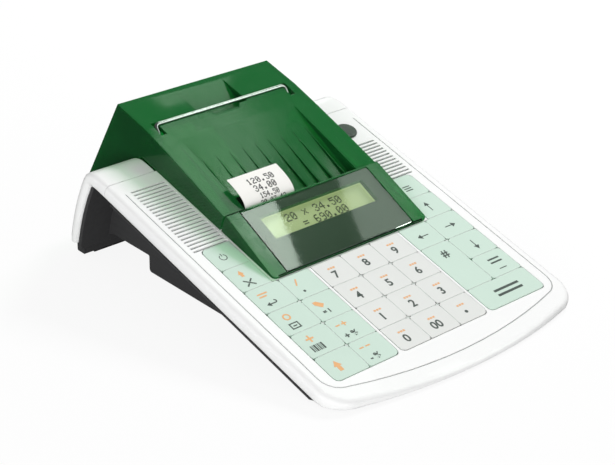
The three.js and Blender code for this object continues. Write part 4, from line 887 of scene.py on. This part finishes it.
# Painted shadow: a dark patch on the recess floor under the ticket.
prisms_from("ticket_shade", seam_shade, "cover", "cover_green",
            (on_recess, 0.005, 0.015, [rectangle(ticket_left - 0.1, 0.4, ticket_right, 11)]))

# %% [markdown]
# ## The bail
#
# The bail is a steel wire, bent at four corners, that springs into the cover. The CAD solid has flat sides
# and coarse bends. A curve with a round bevel would be quick, but a swept mesh keeps control over the
# corners. The path is a row of straight runs joined by arcs, and a ring of points is carried along it.

# %% Sweep the wire
def rounded_path(corners, radius, steps):
    path = [corners[0]]
    for before, corner, after in zip(corners, corners[1:], corners[2:]):
        enter = corner + (before - corner).normalized() * radius
        leave = corner + (after - corner).normalized() * radius
        path += [bend(enter, corner, leave, step / steps) for step in range(steps + 1)]
    path.append(corners[-1])
    return path


def sweep_wire(path, radius, sides):
    corners, faces = [], []
    upward = (path[1] - path[0]).normalized().orthogonal().normalized()
    for index, point in enumerate(path):
        direction = (path[min(index + 1, len(path) - 1)] - path[max(index - 1, 0)]).normalized()
        upward = (upward - direction * upward.dot(direction)).normalized()
        shaded_sides = direction.cross(upward)
        for side in range(sides):
            angle = 2 * math.pi * side / sides
            corners.append(point + (upward * math.cos(angle) + shaded_sides * math.sin(angle)) * radius)
    for low in range(0, len(corners) - sides, sides):
        for side in range(sides):
            after = (side + 1) % sides
            faces.append([low + side, low + after, low + sides + after, low + sides + side])
    faces.append(list(range(sides))[::-1])
    faces.append([len(corners) - sides + side for side in range(sides)])
    return corners, faces


bail_radius, bail_bend, bend_points, wire_sides = 1.0, 2.0, 8, 24
bail_foot, bail_top = (152, 9.5), (157.7, 13.7)
bail_points = [(-41.2, *bail_foot), (-38, *bail_foot), (-38, *bail_top),
               (38, *bail_top), (38, *bail_foot), (41.2, *bail_foot)]
bail_path = rounded_path([on_deck(*point) for point in bail_points], bail_bend * MM, bend_points)
wire_corners, wire_faces = sweep_wire(bail_path, bail_radius * MM, wire_sides)
bail_wire = piece_from("bail_wire", wire_corners, wire_faces, [finishes["bail_steel"]], "bail")
smooth(bail_wire)
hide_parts("bail_handle")
print("bail rings:", len(bail_path))

# %% [markdown]
# ## Print on the keys
#
# The keys carry dark figures and signs, and many a small orange mark for a second use. They are
# screen-printed, so they have almost no thickness. An image texture would blur and would need image files.
# Thin closed shapes stay sharp at any zoom and move with their key. Each shape is drawn in the plane of the
# keys, from the middle of its own key.

# %% Key places and inks
key_pitch, row_pitch, key_top = 17.5, 15.0, 0.15
ink_low, ink_high = key_top + 0.004, key_top + 0.03
dark_ink = opaque("dark key ink", "#4a534f", (0.4, 0.5), 0.4, 0.001, "#525b57", None, 0.05)
orange_ink = opaque("orange key ink", "#e3ab74", (0.4, 0.5), 0.4, 0.001, "#e6b07c", None, 0.05)


def bar(x0, y0, x1, y1, width):
    direction = Vector((x1 - x0, y1 - y0)).normalized() * width / 2
    side = Vector((-direction.y, direction.x))
    return [(x0 - side.x, y0 - side.y), (x1 - side.x, y1 - side.y), (x1 + side.x, y1 + side.y),
            (x0 + side.x, y0 + side.y)]


def arrow(x, y, heading, length, width, head):
    """One outline: a shaft with a solid head, pointing along heading in degrees."""
    turn = Matrix.Rotation(math.radians(heading), 2)
    half, tip, neck, barb = width / 2, length / 2, length / 2 - head, head * 0.62
    shape = [(-tip, -half), (neck, -half), (neck, -barb), (tip, 0), (neck, barb), (neck, half), (-tip, half)]
    return [(x + point.x, y + point.y) for point in (turn @ Vector(corner) for corner in shape)]


def plus(x, y, size, width):
    half, reach = width / 2, size / 2
    return [(x + a, y + b) for a, b in (
        (-half, -reach), (half, -reach), (half, -half), (reach, -half), (reach, half), (half, half),
        (half, reach), (-half, reach), (-half, half), (-reach, half), (-reach, -half), (-half, -half))]


def arc(x, y, radius, start, finish, steps):
    angles = [math.radians(start + (finish - start) * step / steps) for step in range(steps + 1)]
    return [(x + radius * math.cos(angle), y + radius * math.sin(angle)) for angle in angles]


def ring(x, y, radius, width, start=0, finish=360, steps=28):
    return arc(x, y, radius, start, finish, steps) + arc(x, y, radius - width, start, finish, steps)[::-1]


# %% Figures from the built-in font
def figure_shape(text, size, weight=0.14):
    """Triangles of a line of figures, centred on the origin, in mm."""
    curve = bpy.data.curves.new("figures", "FONT")
    curve.body = text
    curve.size = size
    curve.offset = weight
    curve.align_x = "CENTER"
    curve.align_y = "CENTER"
    curve.resolution_u = 5
    carrier = add_object("figures", curve)
    bpy.context.view_layer.update()
    mesh = bpy.data.meshes.new_from_object(carrier.evaluated_get(bpy.context.evaluated_depsgraph_get()))
    shape = bmesh.new()
    shape.from_mesh(mesh)
    bmesh.ops.remove_doubles(shape, verts=shape.verts, dist=0.001)
    spans = [[vertex.co[axis] for vertex in shape.verts] for axis in (0, 1)]
    middle = Vector([(min(span) + max(span)) / 2 for span in spans] + [0])
    bmesh.ops.translate(shape, verts=shape.verts, vec=-middle)
    bpy.data.objects.remove(carrier)
    bpy.data.curves.remove(curve)
    bpy.data.meshes.remove(mesh)
    return shape


def add_figures(corners, faces, text, x, y, size):
    """Adds printed figures as a closed slab: the filled outline below and above, and walls between."""
    shape = figure_shape(text, size)
    first = len(corners)
    count = len(shape.verts)
    shape.verts.index_update()
    for level in (ink_low, ink_high):
        corners.extend(on_deck(x + vertex.co.x, y + vertex.co.y, level) for vertex in shape.verts)
    for face in shape.faces:
        places = [vertex.index for vertex in face.verts]
        faces.append([first + place for place in reversed(places)])
        faces.append([first + count + place for place in places])
    for edge in shape.edges:
        if len(edge.link_faces) == 1:
            start, finish = (vertex.index for vertex in edge.verts)
            faces.append([first + start, first + finish, first + count + finish, first + count + start])
    shape.free()


# %% [markdown]
# ### Which mark goes where
#
# One table holds the print: for every key its column and row, and a list of marks. The digits sit a little
# below the middle, under three small orange blocks. Most keys on the left carry an orange sign above a dark
# one, and those on the right a dark sign alone.

# %% Marks of the digit keys
def dark(*outlines):
    return [("dark", outline) for outline in outlines]


def orange(*outlines):
    return [("orange", outline) for outline in outlines]


def frame_of(x0, y0, x1, y1, width):
    """Four bars round a box: low, left, right and high."""
    return [rectangle(x0, y0, x1, y0 + width), rectangle(x0, y0 + width, x0 + width, y1 - width),
            rectangle(x1 - width, y0 + width, x1, y1 - width), rectangle(x0, y1 - width, x1, y1)]


second_use = orange(*(rectangle(x - 0.75, 1.8, x + 0.35, 2.8) for x in (-1.45, 0, 1.45)))
key_marks = {}
for text, column, row in (
    ("7", -1, 4), ("8", 0, 4), ("9", 1, 4), ("4", -1, 3), ("5", 0, 3), ("6", 1, 3),
    ("1", -1, 2), ("2", 0, 2), ("3", 1, 2), ("0", -1, 1), ("00", 0, 1),
):
    key_marks[f"key_{text}"] = (column, row, [("figures", text, -0.8, -1.8, 6.0), *second_use])
key_marks["key_point"] = (1, 1, dark(ring(-0.6, -2.1, 0.85, 0.84, steps=20)) + second_use)

# %% Marks of the left function keys
left, near = -2.9, -2.7
minus = bar(near - 3.0, 2.9, near - 0.8, 2.9, 0.7)
code_bars = ((-3.2, 0.6), (-2.2, 0.3), (-1.5, 0.9), (-0.2, 0.3), (0.5, 0.6), (1.5, 0.3), (2.2, 0.9))
key_marks.update({
    "key_power": (-3, 6, dark(ring(left, -0.4, 1.9, 0.4, 120, 420), bar(left, 0.3, left, 2.1, 0.4))),
    "key_clear": (-3, 5, orange(arrow(left, 2.6, 90, 4.0, 1.5, 2.3)) + dark(
        bar(left - 2.2, -1.6, left + 2.2, -5.4, 0.7), bar(left - 2.2, -5.4, left - 0.45, -3.9, 0.7),
        bar(left + 0.45, -3.1, left + 2.2, -1.6, 0.7))),
    "key_return": (-3, 4, orange(
        bar(left - 2.6, 3.4, left + 2.6, 3.4, 0.8), bar(left - 2.6, 1.7, left + 1.2, 1.7, 0.8)) + dark(
        arrow(left - 0.3, -3.4, 180, 4.6, 0.6, 2.0), ring(left + 2.0, -2.6, 1.1, 0.6, -90, 90, 12))),
    "key_drawer": (-3, 3, orange(ring(left, 2.2, 1.9, 0.75)) + dark(
        *frame_of(left - 2.4, -5.2, left + 2.4, -1.6, 0.6), rectangle(left - 1.0, -3.8, left + 1.0, -3.2))),
    "key_barcode": (-3, 2, orange(plus(left, 2.5, 4.0, 0.9)) + dark(
        *(rectangle(left + x, -4.9, left + x + wide, -1.1) for x, wide in code_bars))),
    "key_shift": (-3, 1, orange(arrow(left, -0.2, 90, 6.0, 2.0, 3.2))),
    "key_function": (-2, 4, orange(bar(near - 1.0, 0.4, near + 1.0, 4.0, 0.7)) + dark(
        ring(near, -3.7, 0.65, 0.64, steps=18))),
    "key_price": (-2, 3, orange([
        (near - 2.4, 3.9), (near - 0.6, 3.9), (near + 2.0, 1.3), (near + 0.2, -0.5), (near - 2.4, 2.1)]) + [
        ("figures", "= 1", near, -3.0, 3.0)]),
    "key_markup": (-2, 2, orange(minus, plus(near + 1.4, 2.9, 2.6, 0.7)) + [
        ("figures", "+ %", near, -3.6, 4.4)]),
    "key_discount": (-2, 1, orange(minus, bar(near + 0.3, 2.9, near + 2.6, 2.9, 0.7)) + [
        ("figures", "- %", near, -3.4, 4.4)]),
})
print("with the left function keys:", len(key_marks))

# %% Marks of the right group
key_marks.update({
    "key_menu": (3, 6, dark(*(bar(-1.4, y, 3.0, y, 0.55) for y in (0.3, -1.1, -2.5)))),
    "key_up": (3, 5, dark(arrow(0.5, -0.5, 90, 6.4, 0.5, 2.4))),
    "key_right": (3, 4, dark(arrow(0.1, -0.5, 0, 6.4, 0.5, 2.4))),
    "key_left": (2, 4, dark(arrow(0.3, -0.5, 180, 6.4, 0.5, 2.4))),
    "key_down": (3, 3, dark(arrow(0.9, -0.9, -90, 6.4, 0.5, 2.4))),
    "key_lookup": (2, 3, [("figures", "#", 0.7, 0.4, 6.4)]),
    "key_subtotal": (3, 2, dark(
        rectangle(-2.2, 2.4, 4.6, 3.3), rectangle(-2.2, 0.2, 4.6, 1.1), rectangle(-1.0, -4.0, 3.4, -3.5))),
    "key_total": (2.5, 1, dark(rectangle(-6.2, 0.6, 9.0, 1.9), rectangle(-6.2, -2.3, 9.0, -1.0))),
})
print("with the right group:", len(key_marks))


# %% Print every key
def print_key(name, column, row, marks):
    corners, faces, inks = [], [], []
    middle_x, middle_y = column * key_pitch, (row - 0.5) * row_pitch
    for kind, *mark in marks:
        if kind == "figures":
            text, x, y, size = mark
            add_figures(corners, faces, text, middle_x + x, middle_y + y, size)
        else:
            outline = [(middle_x + x, middle_y + y) for x, y in mark[0]]
            prism(corners, faces, outline, on_deck, ink_low, ink_high)
        inks += [int(kind == "orange")] * (len(faces) - len(inks))
    piece_from(f"print_{name}", corners, faces, [dark_ink, orange_ink], name, inks)


for name, marks in key_marks.items():
    print_key(name, *marks)
print("printed keys:", len(key_marks))

# %% [markdown]
# ## The web between the keys
#
# On the real register all keys of a group belong to one soft sheet, so the gaps between them are shallow.
# The CAD keys are loose caps over a deep gap, which looks too dark, above all where four round corners meet.
# A low web fills each gap and each meeting of corners, a little below the tops and clear of the caps.

# %% Fill the gaps
cells = {(int(column), row): name for name, (column, row, _) in key_marks.items()}
cells.update({(3, 1): "key_total", (2, 2): "key_lookup"})
web_low, web_high, diamond_high, web_half, web_end, diamond_half = -1.0, 0.1, -0.25, 0.11, 1.7, 0.95
groups = {-3: "left", -2: "left", -1: "middle", 0: "middle", 1: "middle", 2: "right", 3: "right"}
web_rows = []
for (column, row), name in cells.items():
    x, s = (column + 0.5) * key_pitch, row * row_pitch
    beside, above = cells.get((column + 1, row)), cells.get((column, row + 1))
    joined = groups[column] == groups.get(column + 1)
    if joined and beside and beside != name:
        strip = rectangle(x - web_half, s - row_pitch + web_end, x + web_half, s - web_end)
        web_rows.append((on_deck, web_low, web_high, [strip]))
    if above and above != name:
        strip = rectangle(x - key_pitch + web_end, s - web_half, x - web_end, s + web_half)
        web_rows.append((on_deck, web_low, web_high, [strip]))
    corner = {name, beside, above, cells.get((column + 1, row + 1))}
    if joined and None not in corner and len(corner) == 4:
        diamond = [(x - diamond_half, s), (x, s - diamond_half), (x + diamond_half, s), (x, s + diamond_half)]
        web_rows.append((on_deck, web_low, diamond_high, [diamond]))
prisms_from("key_web", finishes["mat_rubber"], "base", "mat_rubber", *web_rows)

# %% [markdown]
# ## Engraved line and vents, with painted shade
#
# A fine line is engraved round the deck, in a groove of the case, and the vents are slots. A plain groove or
# slot would only be as dark as its own shadow. So their grey is painted in as shade: the line gets a thin
# grey inlay that follows the groove's arcs, and each slot gets a grey block a little below the surface.

# %% Lay the line into its groove
line_end, line_low, line_high, line_outer, line_inner = 135.9, -0.39, -0.2, 0.06, 0.44


def deck_line(inset):
    """Points of the engraved line's outline, from the left end round the crowned front to the right end."""
    half, front, corner, crown = 67.9 - inset, -11.4 + inset, 9.5 - inset, 243.75 - inset
    crown_middle = front + crown
    corner_x = half - corner
    corner_s = crown_middle - math.sqrt((crown - corner) ** 2 - corner_x ** 2)
    turn = math.degrees(math.atan2(corner_s - crown_middle, corner_x))
    return [
        (-half, line_end), *arc(-corner_x, corner_s, corner, 180, 180 - turn, 12),
        *arc(0, crown_middle, crown, -180 - turn, turn, 32), *arc(corner_x, corner_s, corner, turn, 0, 12),
        (half, line_end)]


# The grey of this inlay is painted shade that darkens the groove.
painted_groove_shade = opaque("painted groove shade", "#b3b7b6", (0.45, 0.55), 0.3, 0.002, "#abafae", None, 0.05)
prisms_from("deck_line", painted_groove_shade, "base", "case_white",
            (on_deck, line_low, line_high, [deck_line(line_outer) + deck_line(line_inner)[::-1]]))

# %% Put painted shade in the vents
# Painted shade: a grey block a little below the surface of each slot.
painted_vent_shade = opaque("painted vent shade", "#9ea3a1", (0.6, 0.7), 0.25, 0.03, "#8e9391", None, 0.05)
vent_start, vent_pitch, vent_inner, vent_outer = 90.1, 2.26, 46.45, 64.65
vent_shade_near, vent_shade_far, vent_shade_low, vent_shade_high = 0.03, 0.97, -1.2, -0.7
vent_shade_blocks = []
for x, count in ((-vent_outer, 21), (vent_inner, 13)):
    for s in (vent_start + vent_pitch * place for place in range(count)):
        vent_shade_blocks.append(rectangle(x, s + vent_shade_near, x + vent_outer - vent_inner, s + vent_shade_far))
prisms_from("vent_shade", painted_vent_shade, "base", "case_white", (on_deck, vent_shade_low, vent_shade_high, vent_shade_blocks))

# %% [markdown]
# ## The dark lip under the band
#
# The base closes the case from below and shows as a fine dark line under the white band. The base of the
# CAD ends inside the rim, where it clears the case. The lip is thin trim, so it's laid under the rim here.

# %% Lay the lip
lip_outer, lip_inner, lip_end, lip_low, lip_high = 72.1, 70.0, 140.0, -7.45, -7.06
lip_strips = [[(side * lip_outer, 3.5), (side * lip_outer, lip_end), (side * lip_inner, lip_end),
               (side * lip_inner, 1.0)] for side in (-1, 1)]
prisms_from("base_lip", finishes["base_dark"], "base", "base_dark", (on_deck, lip_low, lip_high, lip_strips))

# %% [markdown]
# ## Screws in the base
#
# Four screws hold the base to the case from below. They are too small for the CAD model, but anyone who
# turns the register over would miss them. Each is a low domed head with a cross recess.

# %% Turn the screw heads
screw_steel = opaque("zinc screw", "#8f9395", (0.3, 0.45), 0.15, 0.003, "#7d8184", "#c0c3c4", 0.1,
                     **drawn_steel)
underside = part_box("base_case")[0].z
screw_radius, screw_sides = 2.6, 32
screw_profile = ((1.0, 0.0), (1.0, -0.35), (0.86, -0.62), (0.5, -0.78))
recess_inset, recess_depth = 0.28, 0.5
cross_inner, cross_reach = 0.35, 0.9


def screw_head(name, x, y, z):
    """A low domed head that faces down, with a cross cut into it."""
    shape = bmesh.new()
    loops = []
    for share, depth in screw_profile:
        circle = arc(0, 0, share * screw_radius, 0, 360, screw_sides)[:-1]
        loops.append([shape.verts.new((*point, depth)) for point in circle])
    for lower, upper in zip(loops, loops[1:]):
        for side in range(screw_sides):
            after = (side + 1) % screw_sides
            shape.faces.new((lower[side], lower[after], upper[after], upper[side]))
    shape.faces.new(loops[0])
    cap = shape.faces.new(loops[-1][::-1])
    bmesh.ops.inset_individual(shape, faces=[cap], thickness=screw_radius * recess_inset)
    bmesh.ops.translate(shape, verts=cap.verts, vec=(0, 0, recess_depth))
    for vertex in cap.verts:
        angle = math.atan2(vertex.co.y, vertex.co.x)
        cross = cross_inner + cross_reach * abs(math.cos(2 * angle)) ** 3
        vertex.co.x *= cross
        vertex.co.y *= cross
    bmesh.ops.scale(shape, verts=shape.verts, vec=(MM, MM, MM))
    bmesh.ops.translate(shape, verts=shape.verts, vec=(x, y, z))
    bmesh.ops.recalc_face_normals(shape, faces=shape.faces)
    mesh = bpy.data.meshes.new(name)
    shape.to_mesh(mesh)
    shape.free()
    mesh.materials.append(screw_steel)
    piece = add_object(name, mesh)
    smooth(piece)
    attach(piece, "base")


for count, (x, y) in enumerate(((-48, 34), (48, 34), (-48, 118), (48, 118))):
    screw_head(f"base_screw_{count + 1}", x * MM, front_y + y * MM, underside)
print("base underside at", round(underside / MM, 2), "mm")

# %% [markdown]
# ## Floor and backdrop
#
# The photograph has a pure white ground with barely a shadow. More light would get there, but it would
# bleach the white case. So the floor and the world glow white for rays that the camera sees directly, and
# both are dim in mirrors. The floor keeps a small share of its own shading, which takes the soft shadow.

# %% White floor
floor_half, floor_glow, glow_in_mirrors = 4.0, 0.9, 0.06


def build_floor():
    material, tree, shader = start_material("white floor")
    feed(tree, shader, {"Base Color": (0.8, 0.8, 0.8, 1), "Roughness": 0.9, "Specular IOR Level": 0.1})
    seen, light = seen_directly(tree)
    glow = add_node(tree, "ShaderNodeEmission", {"Color": (1, 1, 1, 1), "Strength": 1.0})
    either = add_node(tree, "ShaderNodeMixShader", {
        0: math_node(tree, "MULTIPLY", seen, floor_glow), 1: shader.outputs[0], 2: glow.outputs[0]})
    dim = add_node(tree, "ShaderNodeEmission", {"Color": (0.9, 1, 0.93, 1), "Strength": glow_in_mirrors})
    mirrors = add_node(tree, "ShaderNodeMixShader", {
        0: light.outputs["Is Glossy Ray"], 1: either.outputs[0], 2: dim.outputs[0]})
    feed(tree, tree.nodes["Material Output"], {"Surface": mirrors.outputs[0]})
    return material


def staged_sheet(name, corners, material):
    """One square of scenery that isn't part of the register."""
    mesh = bpy.data.meshes.new(name)
    mesh.from_pydata([tuple(corner) for corner in corners], [], [(0, 1, 2, 3)])
    mesh.materials.append(material)
    sheet = add_object(name, mesh)
    return sheet


staged_sheet("floor", [(x, y, 0) for x, y in rectangle(-floor_half, -floor_half, floor_half, floor_half)],
             build_floor())
print("floor:", 2 * floor_half, "m wide")

# %% [markdown]
# ## Light
#
# One soft lamp stands at the upper right, so that light comes through the green cover and falls on the left
# shoulder, and a weaker one at the left front keeps the side walls pale. A bright world alone would give
# flat grey mirrors everywhere. So the world is plain for diffuse light and dim for mirrors, and the pale
# shapes that the plastic mirrors are cards beside the picture, which only mirrors see.

# %% World
light_on_all, light_in_mirrors = 0.46, 0.08


def build_world():
    world = bpy.data.worlds.new("studio")
    bpy.context.scene.world = world
    world.use_nodes = True
    tree = world.node_tree
    white, light = seen_directly(tree)
    plain = add_node(tree, "ShaderNodeMix", {
        0: light.outputs["Is Glossy Ray"], 2: light_on_all, 3: light_in_mirrors})
    strength = math_node(tree, "MAXIMUM", plain.outputs[0], white)
    feed(tree, tree.nodes["Background"], {"Color": (1, 1, 1, 1), "Strength": strength})


build_world()
print("world:", light_on_all, "and in mirrors", light_in_mirrors)


# %% Lamps
lamp_aim, lamp_distance = Vector((0, 0, 0.03)), 1.2


def soft_lamp(name, direction, size, power):
    lamp = add_object(name, bpy.data.lights.new(name, "AREA"))
    lamp.data.shape = "RECTANGLE"
    lamp.data.size = size
    lamp.data.size_y = size
    lamp.data.energy = power
    lamp.location = lamp_aim + Vector(direction).normalized() * lamp_distance
    lamp.rotation_mode = "QUATERNION"
    lamp.rotation_quaternion = (lamp_aim - lamp.location).to_track_quat("-Z", "Y")
    lamp.visible_glossy = False
    lamp.visible_transmission = False


soft_lamp("lamp upper right", (0.72, 0.25, 0.64), 0.3, 14.4)
soft_lamp("lamp left front", (-0.8, -0.52, 0.14), 0.6, 10)


# %% Cards that only mirrors see
def mirror_card(name, strength, distance, corners):
    """A glowing card whose mirror image covers the corners, each a point and its surface's tilt."""
    material = bpy.data.materials.new(name)
    material.use_nodes = True
    tree = material.node_tree
    tree.nodes.remove(tree.nodes["Principled BSDF"])
    glow = add_node(tree, "ShaderNodeEmission", {"Color": (0.86, 1, 0.88, 1), "Strength": strength})
    feed(tree, tree.nodes["Material Output"], {"Surface": glow.outputs[0]})
    card = staged_sheet(name, [mirrored(point, tilt, distance) for point, tilt in corners], material)
    card.visible_camera = False
    card.visible_diffuse = False
    card.visible_transmission = False
    card.visible_shadow = False


card_distance, wire_half = 0.5, 60


def window_card(name, strength, outline):
    mirror_card(name, strength, card_distance, [(on_panel(x, up, 0), panel_tilt) for x, up in outline])


def wire_card(name, strength, low_tilt, high_tilt):
    left_end, right_end = (on_deck(x, *bail_top) for x in (-wire_half, wire_half))
    low, high = math.radians(low_tilt), math.radians(high_tilt)
    corners = [(left_end, low), (right_end, low), (right_end, high), (left_end, high)]
    mirror_card(name, strength, card_distance, corners)


window_card("card left wedge", 8.8, [(-43, 39), (-16.7, 39), (-30.8, -2.3), (-43, -2.3)])
window_card("card right part", 2.9, [(20.4, 39), (43, 39), (43, -2.3), (5.5, -2.3)])
recess_tilt, brow_tilt = math.radians(12.8), math.radians(5)
mirror_card("card over the cover", 2.0, 0.6, [
    (on_deck(-46, 114, 4), recess_tilt), (on_deck(2, 114, 4), recess_tilt),
    (on_deck(14, 165, 13.6), brow_tilt), (on_deck(-60, 165, 13.6), brow_tilt)])
wire_card("card for the wire's top", 1.8, -25, -5)
wire_card("card for the wire's front", 2.2, 30, 50)

# %% [markdown]
# ## Bring the scene up to date
#
# Dressing must not make the object grow.

# %% Update the view layer
bpy.context.view_layer.update()
